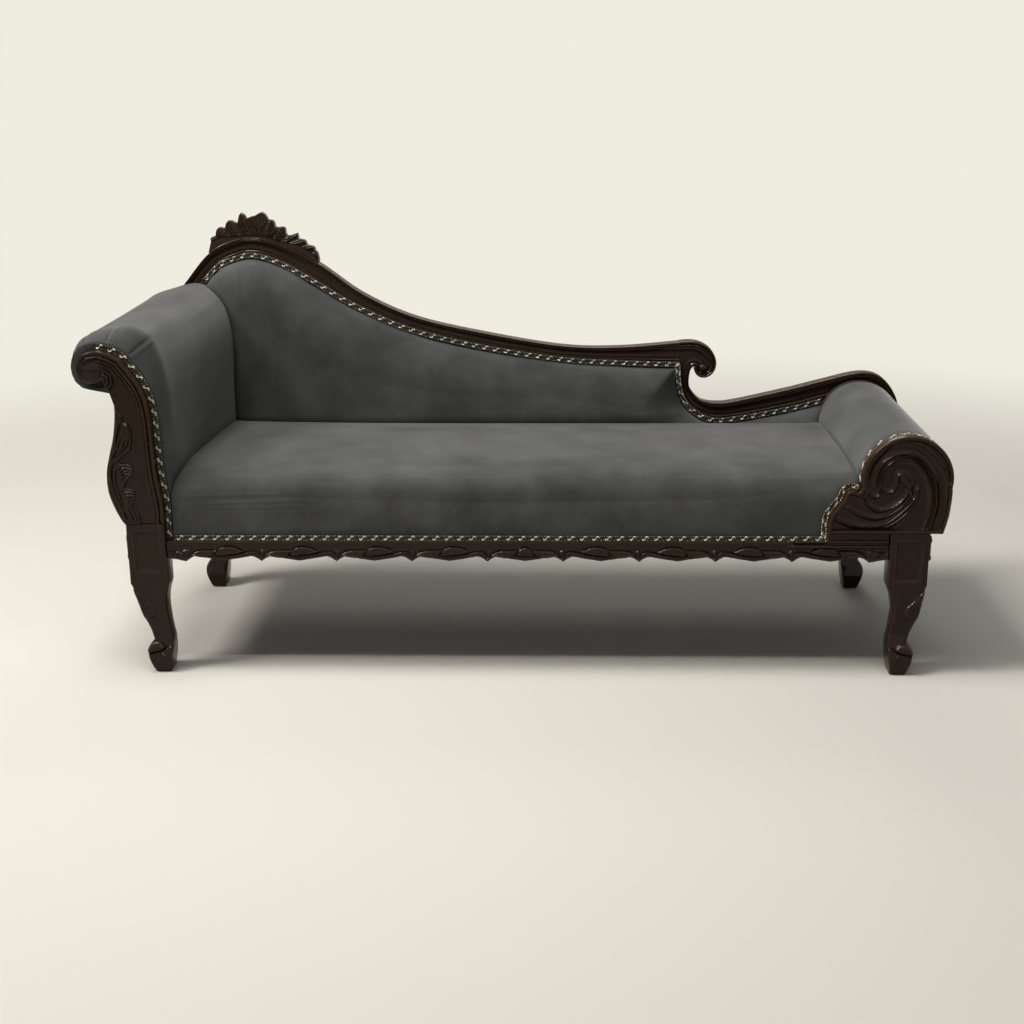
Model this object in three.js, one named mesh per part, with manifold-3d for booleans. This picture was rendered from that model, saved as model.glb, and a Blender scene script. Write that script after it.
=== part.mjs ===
// Fainting couch: carved dark wood frame, scrolled head arm, rolled foot end, sloping back with a crest.
// Millimetres, +Z up, head end towards -X, front towards -Y, origin on the floor under the middle.
import * as THREE from 'three';
import { mergeVertices } from 'three/addons/utils/BufferGeometryUtils.js';
import Module from 'manifold-3d';

const wasm = await Module();
wasm.setup();

// Frame
const legInnerSpan = 1532; // clear length between the head legs and the foot legs
const frameDepth = 610; // front face of the front legs to the back face of the rear legs
const fitGap = 0.3; // clearance between pieces that touch
const cutOverrun = 5; // how far a cutting shape runs past what it cuts

// Legs
const legWidth = 82;
const legThickness = 50;
const footLegHeight = 316;
const headLegRise = 19; // top of the head legs above the top of the foot legs
const legBlockHeight = 116; // square block at the top of a foot leg
const legEdgeBevel = 2.5;
const blockPanelMargin = 15;
const blockPanelDepth = 3;
const footLegSplay = 7; // how far the foot legs lean outwards below the block
const legSplayRun = 60; // depth below the block over which they lean
const toeKnobRadius = 9;
const toeKnobLength = 54;
const legBeadWidth = 5;
const legBeadHeight = 2.5;
const legBeadInset = 9;
const legBeadStartShare = 0.33; // along the inner edge, above the foot
const kneeLeafWidth = 13;
const kneeLeafHeight = 4;

// Seat rails and deck
const railThickness = 28;
const railHeight = 56;
const webbingThickness = 3;
const strapWidth = 50;
const crossRailCount = 3;
const lengthwiseStraps = 3;
const crosswiseStraps = 8;
const crossRailHeight = 40;
const crossRailWidth = 45;
const cornerBlockReach = 62;
const cornerBlockHeight = 45;
const dustCoverThickness = 1.5;
const dustCoverHem = 10; // hem of the dust cover inside the outer face of the side rails

// Front apron and side aprons
const apronThickness = 22;
const apronSetback = 8; // apron face behind the front of the legs
const apronDrop = 20; // top of the foot legs down to the top of the apron
const apronDepth = 45; // top of the apron to the tips of its scallops
const apronScallopDepth = 12;
const apronPitch = 160;
const apronEndLength = 41;
const apronLeafWidth = 14;
const apronLeafHeight = 4;
const apronBeadWidth = 4;
const apronBeadHeight = 3;
const sideApronThickness = 6;
const sideApronHeight = 54;
const sideApronInset = 4; // ends of the side apron inside the faces of the legs

// Head arm
const headPostReach = 159; // inner face of the leg to the outermost point of the scroll
const headPostRise = 371; // top of the leg to the top of the scroll
const headPostThickness = 20;
const headScrollRadius = 31;
const headScrollEyeRadius = 8;
const postBeadWidth = 7;
const postBeadHeight = 3;
const scrollRidgeHeight = 4;
const postLeafWidth = 15;
const postLeafHeight = 4;
const armPadThickness = 108; // at the shoulder, where the stuffing is deepest
const armPadRounding = 26; // depth over which the arm stuffing swells behind the gimp
const armBoardThickness = 26;
const armBoardInset = 26;
const armSlatWidth = 44;
const armSlatThickness = 18;
const armSlatSetback = 6.5; // slats below the edge of the arm boards
const outsidePanelThickness = 3;

// Foot roll
const voluteRadius = 94;
const voluteSetOut = 28; // roll centre beyond the inner face of the foot legs
const voluteRise = 116; // roll centre above the top of the foot legs
const voluteThickness = 20;
const voluteRibWidth = 9;
const voluteRibHeight = 5;
const voluteRimInset = 7; // middle of the edge bead inside the edge of the panel
const rollRadius = 97; // the roll at its fullest
const rollLandRadius = 91; // the roll under the gimp, behind the volute panel
const rollRounding = 30; // length over which the roll swells
const rollPadThickness = 39;
const rollBoardThickness = 26;
const rollSlatWidth = 34;
const rollSlatThickness = 18;

// Back
const crestSpan = 1277; // left end of the crest rail to the right edge of its curl
const crestInset = 20; // left end of the crest rail inside the outer face of the rear leg
const crestRise = 557; // top of the foot legs to the top of the crest rail
const crestThickness = 36;
const railFaceInset = 30; // front face of the crest rail ahead of the back of the rear legs
const mouldingDepth = 6;
const curlEyeRadius = 22;
const curlThroatReach = 48; // growth of the curl's radius where it leaves the rail
const curlButtonRadius = 10;
const footRailCrown = 17; // rear rail above the roll
const stemRun = 94.5; // crest underside to the lowest point of the foot back rail, along the couch
const carvingLength = 266;
const carvingRise = 59;
const carvingThickness = 22;
const carvingRibWidth = 9;
const carvingRibHeight = 4;
const backPadThickness = 62;
const backPadEdge = 12; // thickness of the back pad at the gimp
const backCrownRun = 110; // distance from the gimp over which the back swells to full thickness
const stileWidth = 32;
const stileThickness = 21;

// Seat
const seatFrontSetback = 14; // front of the legs to the flat front of the seat
const seatFrontRise = 76; // top of the foot legs to the top of the upright front face
const seatCrownRise = 58; // crown of the seat above its front face
const seatEndDrop = 20;

// Gimp braid
const gimpWidth = 12;
const gimpThickness = 4;
const gimpClearance = 1; // gimp from the edge it follows
const gimpLand = 16; // flat edge that a gimp lies on

const espressoWood = { color: 0x2a1d15, roughness: 0.38, metalness: 0 };
const plainWood = { color: 0x8a6b48, roughness: 0.8, metalness: 0 };
const charcoalVelvet = { color: 0x4a4b4d, roughness: 0.95, metalness: 0 };
const darkLining = { color: 0x1c1c1d, roughness: 0.95, metalness: 0 };
const jute = { color: 0x8b7a5c, roughness: 0.95, metalness: 0 };
const gimpBraid = { color: 0x5b5648, roughness: 0.6, metalness: 0.2 };

// Levels and lines that follow from the sizes
const headLegHeight = footLegHeight + headLegRise;
const kneeHeight = footLegHeight - legBlockHeight;
const apronTopHeight = footLegHeight - apronDrop;
const apronTipHeight = apronTopHeight - apronDepth;
const seatFrontHeight = footLegHeight + seatFrontRise;
const seatCrownHeight = seatFrontHeight + seatCrownRise;
const railFaceSetback = frameDepth - railFaceInset;
const legFace = legInnerSpan / 2;
const legOuter = legFace + legWidth;
const deckTop = footLegHeight;
const railTop = deckTop - webbingThickness - fitGap;
const railBottom = railTop - railHeight;
const rearLegFront = frameDepth - legThickness;
const voluteX = legFace + voluteSetOut;
const voluteZ = footLegHeight + voluteRise;
const crestLeft = -(legOuter - crestInset);
const padBack = railFaceSetback + backPadEdge - fitGap;
const padFront = padBack - backPadThickness;
const frontRailFace = apronSetback + apronThickness + fitGap;

const couch = new THREE.Group();

// Adds one named piece to the couch.
function addPiece(name, geometry, finish) {
  const mesh = new THREE.Mesh(geometry, new THREE.MeshStandardMaterial(finish));
  mesh.name = name;
  couch.add(mesh);
  return mesh;
}

// Turns a closed mesh into a solid that can be joined and cut.
function toSolid(geometry) {
  const bare = geometry.clone();
  bare.deleteAttribute('normal');
  bare.deleteAttribute('uv');
  const merged = mergeVertices(bare);
  const mesh = new wasm.Mesh({
    numProp: 3,
    vertProperties: merged.attributes.position.array,
    triVerts: new Uint32Array(merged.index.array),
  });
  return new wasm.Manifold(mesh);
}

// Turns a solid back into a mesh.
function fromSolid(solid) {
  const mesh = solid.getMesh();
  const geometry = new THREE.BufferGeometry();
  geometry.setAttribute('position', new THREE.BufferAttribute(mesh.vertProperties, 3));
  geometry.setIndex(new THREE.BufferAttribute(mesh.triVerts, 1));
  geometry.computeVertexNormals();
  return geometry;
}

// One body made of a main shape and the shapes carved proud of it.
function join(geometry, additions) {
  return fromSolid(additions.reduce((solid, extra) => solid.add(toSolid(extra)), toSolid(geometry)));
}

// A shape with other shapes taken out of it.
function cut(geometry, tools) {
  return fromSolid(tools.reduce((solid, tool) => solid.subtract(toSolid(tool)), toSolid(geometry)));
}

// Axis-aligned block between two corners.
function block(x0, x1, y0, y1, z0, z1) {
  const box = new THREE.BoxGeometry(x1 - x0, y1 - y0, z1 - z0);
  return box.translate((x0 + x1) / 2, (y0 + y1) / 2, (z0 + z1) / 2);
}

// Outline in the upright X-Z plane, made solid from y0 backwards.
function upright(outline, y0, thickness, bevel = 0) {
  const shape = new THREE.Shape(outline);
  const geometry = new THREE.ExtrudeGeometry(shape, {
    depth: thickness - 2 * bevel,
    bevelEnabled: bevel > 0,
    bevelThickness: bevel,
    bevelSize: bevel,
    bevelOffset: -bevel,
    bevelSegments: 1,
    steps: 1,
  });
  geometry.rotateX(Math.PI / 2);
  return geometry.translate(0, y0 + thickness - bevel, 0);
}

// Smooth line through control points, with a set number of steps between each pair.
function through(points, stepsPerSpan) {
  const line = new THREE.SplineCurve(points);
  return line.getPoints((points.length - 1) * stepsPerSpan);
}

// Shares of a width and a height turned into points from a corner.
function place(shares, x0, width, z0, height) {
  return shares.map(([x, z]) => new THREE.Vector2(x0 + x * width, z0 + z * height));
}

// Unit normals on the left-hand side of a line of points.
function leftNormals(points) {
  return points.map((point, i) => {
    const before = points[Math.max(i - 1, 0)];
    const after = points[Math.min(i + 1, points.length - 1)];
    const along = after.clone().sub(before).normalize();
    return new THREE.Vector2(-along.y, along.x);
  });
}

// Line moved sideways to its left by a distance.
function shifted(points, distance) {
  const normals = leftNormals(points);
  return points.map((point, i) => point.clone().addScaledVector(normals[i], distance));
}

// Closed body through rings of equal length; the ends are closed with the flat section given.
function loft(rings, section) {
  const count = rings[0].length;
  const positions = rings.flat().flatMap((p) => [p.x, p.y, p.z]);
  const index = [];
  for (let i = 0; i < rings.length - 1; i += 1) {
    for (let j = 0; j < count; j += 1) {
      const a = i * count + j;
      const b = i * count + ((j + 1) % count);
      index.push(a, b, b + count);
      index.push(a, b + count, a + count);
    }
  }
  const caps = THREE.ShapeUtils.triangulateShape(section, []);
  const last = (rings.length - 1) * count;
  const turned = THREE.ShapeUtils.area(section) > 0;
  caps.forEach(([a, b, c]) => {
    index.push(...(turned ? [a, c, b] : [a, b, c]));
    index.push(...(turned ? [last + a, last + b, last + c] : [last + a, last + c, last + b]));
  });
  const geometry = new THREE.BufferGeometry();
  geometry.setAttribute('position', new THREE.Float32BufferAttribute(positions, 3));
  geometry.setIndex(index);
  return facingOut(geometry);
}

// Turns every face round when the body is inside out.
function facingOut(geometry) {
  const p = geometry.attributes.position;
  const index = geometry.index.array;
  const [a, b, c] = [new THREE.Vector3(), new THREE.Vector3(), new THREE.Vector3()];
  let volume = 0;
  for (let i = 0; i < index.length; i += 3) {
    a.fromBufferAttribute(p, index[i]);
    b.fromBufferAttribute(p, index[i + 1]);
    c.fromBufferAttribute(p, index[i + 2]);
    volume += a.dot(b.cross(c));
  }
  if (volume < 0) {
    for (let i = 0; i < index.length; i += 3) {
      [index[i + 1], index[i + 2]] = [index[i + 2], index[i + 1]];
    }
  }
  return geometry;
}

// Section swept along an upright line: section x is to the left of the line, section y is depth.
function sweep(points, section, widthAt = () => 1) {
  const normals = leftNormals(points);
  const rings = points.map((point, i) => {
    const scale = widthAt(i / (points.length - 1));
    return section.map((s) => new THREE.Vector3(
      point.x + normals[i].x * s.x * scale,
      s.y,
      point.y + normals[i].y * s.x * scale,
    ));
  });
  return loft(rings, section);
}

// Rounded ridge carved proud of a face at depth y, tapering along its length by taper(share).
const ridgeCrownShares = [[-0.36, 0.62], [0, 1], [0.36, 0.62]];

function ridge(points, y, width, height, taper = () => 1) {
  const crown = ridgeCrownShares.map(([w, h]) => new THREE.Vector2(w * width, -h * height));
  const half = width / 2;
  const section = [new THREE.Vector2(-half, height), ...crown, new THREE.Vector2(half, height)];
  const normals = leftNormals(points);
  const rings = points.map((point, i) => {
    const scale = taper(i / (points.length - 1));
    return section.map((s) => new THREE.Vector3(
      point.x + normals[i].x * s.x * scale,
      y + (s.y > 0 ? s.y : s.y * scale),
      point.y + normals[i].y * s.x * scale,
    ));
  });
  return loft(rings, section);
}

// Taper that swells from a point to full width and back, as a leaf does.
function leafTaper(share) {
  return 0.18 + 0.82 * Math.sin(Math.PI * share) ** 0.8;
}

// Taper that narrows from full width to a thin end.
function tailTaper(share) {
  return 1 - 0.7 * share ** 1.5;
}

// Body whose section changes between two paired edges, as a moulded rail does.
function railBetween(outer, inner, y0, thickness, profileShares) {
  const profile = profileShares.map(([across, depth]) => new THREE.Vector2(across, y0 + depth * mouldingDepth));
  profile.push(new THREE.Vector2(0, y0 + thickness), new THREE.Vector2(1, y0 + thickness));
  const rings = outer.map((o, i) => profile.map((p) => new THREE.Vector3(
    inner[i].x + (o.x - inner[i].x) * p.x,
    p.y,
    inner[i].y + (o.y - inner[i].y) * p.x,
  )));
  return loft(rings, profile);
}

// Closed outline grown outwards (or shrunk, with a negative distance) by the same amount all round.
function grown(outline, distance) {
  const side = Math.sign(THREE.ShapeUtils.area(outline));
  const count = outline.length;
  return outline.map((point, i) => {
    const before = outline[(i + count - 1) % count];
    const after = outline[(i + 1) % count];
    const d0 = point.clone().sub(before).normalize();
    const d1 = after.clone().sub(point).normalize();
    const n0 = new THREE.Vector2(d0.y, -d0.x).multiplyScalar(side);
    const n1 = new THREE.Vector2(d1.y, -d1.x).multiplyScalar(side);
    const mean = n0.clone().add(n1).normalize();
    return point.clone().addScaledVector(mean, distance / Math.max(mean.dot(n0), 0.5));
  });
}

// Distance from a point to the nearest stretch of a line of points.
function distanceToLine(x, z, line) {
  let least = Infinity;
  for (let i = 0; i < line.length - 1; i += 1) {
    const [a, b] = [line[i], line[i + 1]];
    const [dx, dz] = [b.x - a.x, b.y - a.y];
    const share = ((x - a.x) * dx + (z - a.y) * dz) / (dx * dx + dz * dz || 1);
    const t = Math.min(Math.max(share, 0), 1);
    least = Math.min(least, Math.hypot(x - a.x - t * dx, z - a.y - t * dz));
  }
  return least;
}

// Point at an angle and a radius around a centre.
function polar(x, z, radius, degrees) {
  const turn = THREE.MathUtils.degToRad(degrees);
  return new THREE.Vector2(x + radius * Math.cos(turn), z + radius * Math.sin(turn));
}

// Cabriole leg, drawn from its inner face outwards, its face at the front.
const legOuterShares = [[1, 1], [0.95, 0.94], [0.84, 0.78], [0.745, 0.636], [0.61, 0.495], [0.51, 0.364]];
const legToeShares = [[0.51, 0.364], [0.66, 0.27], [0.63, 0.14], [0.49, 0]];
const legInnerShares = [[0.1, 0], [0.02, 0.25], [0, 0.364], [0.05, 0.52], [0.1, 0.7], [0.085, 0.86], [0, 1]];
const kneeLeafShares = [[0.83, 0.84], [0.75, 0.78], [0.62, 0.71], [0.52, 0.61]];
const toeKnobShare = [0.56, 0.3];

// Lower leg moved outwards below its block.
function splayed(points, splay) {
  return points.map((p) => {
    const share = Math.min(Math.max((kneeHeight - p.y) / legSplayRun, 0), 1);
    return new THREE.Vector2(p.x + splay * share, p.y);
  });
}

function cabrioleLeg(height, carved, splay) {
  const line = (shares, steps) => splayed(through(place(shares, 0, legWidth, 0, kneeHeight), steps), splay);
  const inner = line(legInnerShares, 3);
  const outer = line(legOuterShares, 2);
  const toe = line(legToeShares, 3).slice(1);
  const top = [new THREE.Vector2(0, height), new THREE.Vector2(legWidth, height)];
  let leg = upright([...inner, ...top, ...outer, ...toe], 0, legThickness, legEdgeBevel);
  const knob = new THREE.CylinderGeometry(toeKnobRadius, toeKnobRadius, toeKnobLength, 12);
  const knobY = legThickness - toeKnobLength / 2;
  knob.translate(toeKnobShare[0] * legWidth + splay, knobY, toeKnobShare[1] * kneeHeight);
  leg = join(leg, [knob]);
  if (carved) {
    const bead = shifted(inner, -legBeadInset).slice(Math.round(legBeadStartShare * inner.length));
    leg = join(leg, [
      ridge(bead, 0, legBeadWidth, legBeadHeight),
      ridge(line(kneeLeafShares, 2), 0, kneeLeafWidth, kneeLeafHeight, leafTaper),
    ]);
    const x1 = legWidth - blockPanelMargin;
    const z0 = kneeHeight + blockPanelMargin + height - footLegHeight;
    leg = cut(leg, [block(blockPanelMargin, x1, -cutOverrun, blockPanelDepth, z0, height - blockPanelMargin)]);
  }
  return leg;
}

function addLegs() {
  const ends = [['head', -1, headLegHeight, 0], ['foot', 1, footLegHeight, footLegSplay]];
  for (const [end, side, height, splay] of ends) {
    for (const row of ['front', 'rear']) {
      const body = cabrioleLeg(height, row === 'front', splay);
      const leg = addPiece(`${row}_${end}_leg`, body, espressoWood);
      leg.scale.x = side;
      leg.position.set(side * legFace, row === 'front' ? 0 : rearLegFront, 0);
    }
  }
}

// Rails between the legs, with cross rails, corner blocks and the webbing that carries the seat.
const railInnerFace = legOuter - railThickness;
const frontRailBack = frontRailFace + railThickness;
const rearRailFront = frameDepth - railThickness;

function addRails() {
  const end = legFace - fitGap;
  addPiece('front_seat_rail', block(-end, end, frontRailFace, frontRailBack, railBottom, railTop), plainWood);
  addPiece('rear_seat_rail', block(-end, end, rearRailFront, frameDepth, railBottom, railTop), plainWood);
  const [y0, y1] = [legThickness + fitGap, rearLegFront - fitGap];
  addPiece('head_side_rail', block(-legOuter, -railInnerFace, y0, y1, railBottom, headLegHeight), plainWood);
  addPiece('foot_side_rail', block(railInnerFace, legOuter, y0, y1, railBottom, footLegHeight), plainWood);
  for (let i = 1; i <= crossRailCount; i += 1) {
    const x = -legFace + (i * legInnerSpan) / (crossRailCount + 1);
    const [left, right] = [x - crossRailWidth / 2, x + crossRailWidth / 2];
    const [front, rear] = [frontRailBack + fitGap, rearRailFront - fitGap];
    addPiece(`cross_rail_${i}`, block(left, right, front, rear, railTop - crossRailHeight, railTop), plainWood);
  }
}

function addCornerBlocks() {
  const inside = railInnerFace - fitGap;
  const reach = legFace - cornerBlockReach;
  for (const [end, side] of [['head', -1], ['foot', 1]]) {
    for (const [row, deep] of [['front', frontRailBack], ['rear', legThickness]]) {
      const face = deep + fitGap;
      const plan = new THREE.Shape([
        new THREE.Vector2(inside, face),
        new THREE.Vector2(inside, face + inside - reach),
        new THREE.Vector2(reach, face),
      ]);
      const body = new THREE.ExtrudeGeometry(plan, { depth: cornerBlockHeight, bevelEnabled: false });
      const piece = addPiece(`${row}_${end}_corner_block`, body, plainWood);
      piece.scale.set(side, row === 'front' ? 1 : -1, 1);
      piece.position.set(0, row === 'front' ? 0 : frameDepth, railTop - cornerBlockHeight);
    }
  }
}

function addWebbing() {
  const [z0, z1] = [deckTop - webbingThickness, deckTop];
  const [x0, x1] = [-railInnerFace + fitGap, railInnerFace - fitGap];
  const [y0, y1] = [frontRailFace, padBack];
  const straps = [];
  const [clearFront, clearRear] = [legThickness + fitGap, rearLegFront - fitGap];
  for (let i = 0; i < lengthwiseStraps; i += 1) {
    const share = (i + 0.5) / lengthwiseStraps;
    const y = clearFront + share * (clearRear - clearFront);
    straps.push(block(x0, x1, y - strapWidth / 2, y + strapWidth / 2, z0, z1));
  }
  const [first, last] = [-legFace + strapWidth, legFace - strapWidth];
  for (let i = 0; i < crosswiseStraps; i += 1) {
    const x = first + (i * (last - first)) / (crosswiseStraps - 1);
    straps.push(block(x - strapWidth / 2, x + strapWidth / 2, y0, y1, z0, z1));
  }
  addPiece('seat_webbing', join(straps[0], straps.slice(1)), jute);
}

function addDustCover() {
  const [narrow, wide] = [legFace - fitGap, legOuter - dustCoverHem];
  const [y0, y1, y2, y3] = [frontRailFace, legThickness + fitGap, rearLegFront - fitGap, frameDepth - fitGap];
  const corners = [[narrow, y0], [narrow, y1], [wide, y1], [wide, y2], [narrow, y2], [narrow, y3]];
  const otherEnd = corners.map(([x, y]) => [-x, y]).reverse();
  const plan = new THREE.Shape([...corners, ...otherEnd].map(([x, y]) => new THREE.Vector2(x, y)));
  const body = new THREE.ExtrudeGeometry(plan, { depth: dustCoverThickness, bevelEnabled: false });
  const piece = addPiece('dust_cover', body, darkLining);
  piece.position.z = railBottom - fitGap - dustCoverThickness;
}

// Volute panel at the foot end: outline in shares of the roll radius and of its rise above the leg
const voluteOgeeShares = [
  [-1.695, -1], [-1.695, -0.89], [-1.67, -0.694], [-1.545, -0.537], [-1.396, -0.373],
  [-1.31, -0.216], [-1.18, -0.182], [-1.064, -0.216], [-0.985, -0.138],
];
const voluteEdgeShares = [[0.99, -0.19], [0.985, -0.4], [0.945, -0.69], [0.85, -1]];
const voluteArc = { from: 190, to: -12, step: 8 };
const voluteLeft = voluteX + voluteOgeeShares[0][0] * voluteRadius;
const panelBottom = footLegHeight + fitGap;

function voluteArcPoints(radius) {
  const points = [];
  for (let turn = voluteArc.from; turn >= voluteArc.to; turn -= voluteArc.step) {
    points.push(polar(voluteX, voluteZ, radius, turn));
  }
  return points;
}

function voluteOgee() {
  const rise = voluteZ - panelBottom;
  return through(place(voluteOgeeShares, voluteX, voluteRadius, voluteZ, rise), 3);
}

function voluteEdge() {
  const rise = voluteZ - panelBottom;
  return through(place(voluteEdgeShares, voluteX, voluteRadius, voluteZ, rise), 3);
}

function voluteOutline() {
  return [...voluteOgee().slice(0, -1), ...voluteArcPoints(voluteRadius), ...voluteEdge()];
}

// Spiral bands as angle and radius share around the roll centre, and the flutes that sweep into them.
const outerBandShares = [
  [214, 0.78], [180, 0.72], [135, 0.63], [90, 0.56], [45, 0.58],
  [5, 0.64], [-30, 0.76], [-55, 0.98], [-66, 1.22],
];
const innerBandShares = [
  [222, 0.5], [195, 0.58], [160, 0.56], [120, 0.45], [80, 0.4], [40, 0.4], [0, 0.46], [-40, 0.6],
];
const hookShares = [[-0.24, -0.02], [-0.2, 0.12], [-0.1, 0.17], [0.01, 0.1], [0.03, -0.08], [-0.05, -0.3]];
const fluteShares = [
  [[-1.0, -0.36], [-0.86, -0.58], [-0.62, -0.7], [-0.28, -0.6], [0, -0.3]],
  [[-1.34, -0.62], [-1.1, -0.8], [-0.76, -0.88], [-0.3, -0.76], [0.1, -0.4]],
  [[-1.55, -0.9], [-1.25, -1.02], [-0.92, -1.06], [-0.4, -0.98], [0.08, -0.66]],
];

function addVolutePanel() {
  const polarLine = (shares, steps) => through(
    shares.map(([turn, radius]) => polar(voluteX, voluteZ, radius * voluteRadius, turn)),
    steps,
  );
  const planLine = (shares, steps) => through(
    place(shares, voluteX, voluteRadius, voluteZ, voluteRadius),
    steps,
  );
  const rib = (line, taper) => ridge(line, 0, voluteRibWidth, voluteRibHeight, taper);
  const rim = voluteArcPoints(voluteRadius - voluteRimInset);
  const edge = shifted(voluteEdge(), -voluteRimInset).slice(1, -1);
  const body = upright(voluteOutline(), 0, voluteThickness);
  const carving = [
    rib([...rim, ...edge]),
    rib(polarLine(outerBandShares, 4)),
    rib(polarLine(innerBandShares, 4), tailTaper),
    rib(planLine(hookShares, 3), tailTaper),
    ...fluteShares.map((shares) => rib(planLine(shares, 3), leafTaper)),
  ];
  addPiece('foot_volute_panel', join(body, carving), espressoWood);
}

// Apron under the front of the seat, with a leaf on each scallop and a plinth for the volute
const scallopShares = [
  [0.06, 0.55], [0.12, 0.95], [0.3, 0.5], [0.5, 0.08], [0.7, 0.5], [0.88, 0.95], [0.94, 0.55],
];
const apronLeafShares = [[0.18, 0.1], [0.34, -0.1], [0.5, 0], [0.66, 0.1], [0.82, -0.1]];

function addApron() {
  const left = -legFace + fitGap;
  const right = legFace - fitGap;
  const repeats = Math.max(1, Math.round((right - left - 2 * apronEndLength) / apronPitch));
  const pitch = (right - left - 2 * apronEndLength) / repeats;
  const lower = [new THREE.Vector2(left, apronTipHeight + apronScallopDepth / 2)];
  const leaves = [];
  for (let i = 0; i < repeats; i += 1) {
    const x = left + apronEndLength + i * pitch;
    lower.push(new THREE.Vector2(x, apronTipHeight));
    lower.push(...place(scallopShares, x, pitch, apronTipHeight, apronScallopDepth));
    const middle = (apronTipHeight + apronTopHeight) / 2;
    leaves.push(through(place(apronLeafShares, x, pitch, middle, apronScallopDepth), 2));
  }
  lower.push(new THREE.Vector2(right - apronEndLength, apronTipHeight));
  lower.push(new THREE.Vector2(right, apronTipHeight + apronScallopDepth / 2));
  const outline = [
    ...lower,
    new THREE.Vector2(right, footLegHeight),
    new THREE.Vector2(voluteLeft, footLegHeight),
    new THREE.Vector2(voluteLeft, apronTopHeight),
    new THREE.Vector2(left, apronTopHeight),
  ];
  const body = upright(outline, apronSetback, apronThickness);
  const carving = leaves.map((line) => ridge(line, apronSetback, apronLeafWidth, apronLeafHeight, leafTaper));
  const beadEnd = right - apronBeadWidth;
  for (const z of [apronTopHeight - apronBeadWidth * 2, apronTopHeight + apronBeadWidth]) {
    const line = [new THREE.Vector2(voluteLeft + apronBeadWidth, z), new THREE.Vector2(beadEnd, z)];
    carving.push(ridge(line, apronSetback, apronBeadWidth, apronBeadHeight));
  }
  addPiece('front_apron', join(body, carving), espressoWood);
}

function addSideAprons() {
  const x0 = legOuter + fitGap;
  const x1 = x0 + sideApronThickness;
  const sideApronTop = railBottom + sideApronHeight;
  for (const [end, side] of [['head', -1], ['foot', 1]]) {
    const body = block(x0, x1, sideApronInset, frameDepth - sideApronInset, railBottom, sideApronTop);
    const piece = addPiece(`${end}_side_apron`, body, espressoWood);
    piece.scale.x = side;
  }
}

// Head arm contour, from the foot of the post over the scroll to its underside. Each row holds
// the reach share, the rise share, the stuffing share and the part of it already there at the front.
const armContourShares = [
  [0, 0, 0.46, 0.45], [0, 0.12, 0.47, 0.45], [0.05, 0.28, 0.545, 0.45], [0.07, 0.448, 0.575, 0.45],
  [0.082, 0.617, 0.61, 0.45], [0.114, 0.717, 0.7, 0.45], [0.178, 0.793, 0.82, 0.48],
  [0.254, 0.85, 0.93, 0.52], [0.361, 0.913, 0.97, 0.58], [0.463, 0.962, 0.83, 0.7],
  [0.678, 1, 0.43, 0.92], [0.83, 0.995, 0.33, 0.96], [0.938, 0.973, 0.26, 0.97], [1, 0.907, 0.157, 1],
  [0.97, 0.845, 0.15, 1], [0.881, 0.818, 0.16, 1], [0.76, 0.822, 0.13, 1], [0.678, 0.837, 0.1, 1],
];
const postOuterShares = [
  [0.678, 0.837], [0.621, 0.79], [0.571, 0.728], [0.539, 0.655], [0.583, 0.514], [0.652, 0.408],
  [0.704, 0.3125], [0.71, 0.212], [0.666, 0.125], [0.602, 0.054], [0.526, 0],
];
const armBoardOuterShares = [[0.62, 0.8], [0.535, 0.74], [0.535, 0]];
const scrollCentreShare = [0.8, 0.889];
const scrollTurns = { from: 20, to: 470, step: 25 };
const postLeafShares = [
  [[0.64, 0.68], [0.56, 0.62], [0.47, 0.57], [0.44, 0.5]],
  [[0.43, 0.52], [0.44, 0.45], [0.52, 0.41], [0.62, 0.36]],
  [[0.62, 0.345], [0.5, 0.355], [0.42, 0.3], [0.54, 0.235]],
  [[0.52, 0.205], [0.4, 0.19], [0.43, 0.11], [0.35, 0.02]],
];
const postEdgeShares = [0.08, 0.52]; // stretch of the contour with a bead along it
const postBottom = headLegHeight + fitGap;

function armPlace(shares) {
  const rise = headLegHeight + headPostRise - postBottom;
  return place(shares, -legFace, -headPostReach, postBottom, rise);
}

function addHeadPost() {
  const contour = through(armPlace(armContourShares), 3);
  const outer = through(armPlace(postOuterShares), 2).slice(1);
  const body = upright([...contour, ...outer], 0, headPostThickness);
  const leaves = postLeafShares.map((leaf) => through(armPlace(leaf), 3));
  const [centre] = armPlace([scrollCentreShare]);
  const scroll = [];
  const { from, to, step } = scrollTurns;
  for (let turn = from; turn <= to; turn += step) {
    const share = (turn - from) / (to - from);
    const radius = headScrollRadius + (headScrollEyeRadius - headScrollRadius) * share;
    scroll.push(polar(centre.x, centre.y, radius - postBeadWidth / 2, turn));
  }
  const [edgeStart, edgeEnd] = postEdgeShares.map((share) => Math.round(share * contour.length));
  const edge = shifted(contour, postBeadWidth).slice(edgeStart, edgeEnd);
  const carving = [
    ridge(edge, 0, postBeadWidth, postBeadHeight),
    ridge(scroll, 0, postBeadWidth, scrollRidgeHeight, tailTaper),
    ...leaves.map((leaf) => ridge(leaf, 0, postLeafWidth, postLeafHeight, leafTaper)),
  ];
  addPiece('head_arm_post', join(body, carving), espressoWood);
}

// Boards and slats inside the head arm, each slat under a place along the contour
const armSlatShares = { tacking: 0.059, lumbar: 0.235, shoulder: 0.47, roll: 0.588 };

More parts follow.
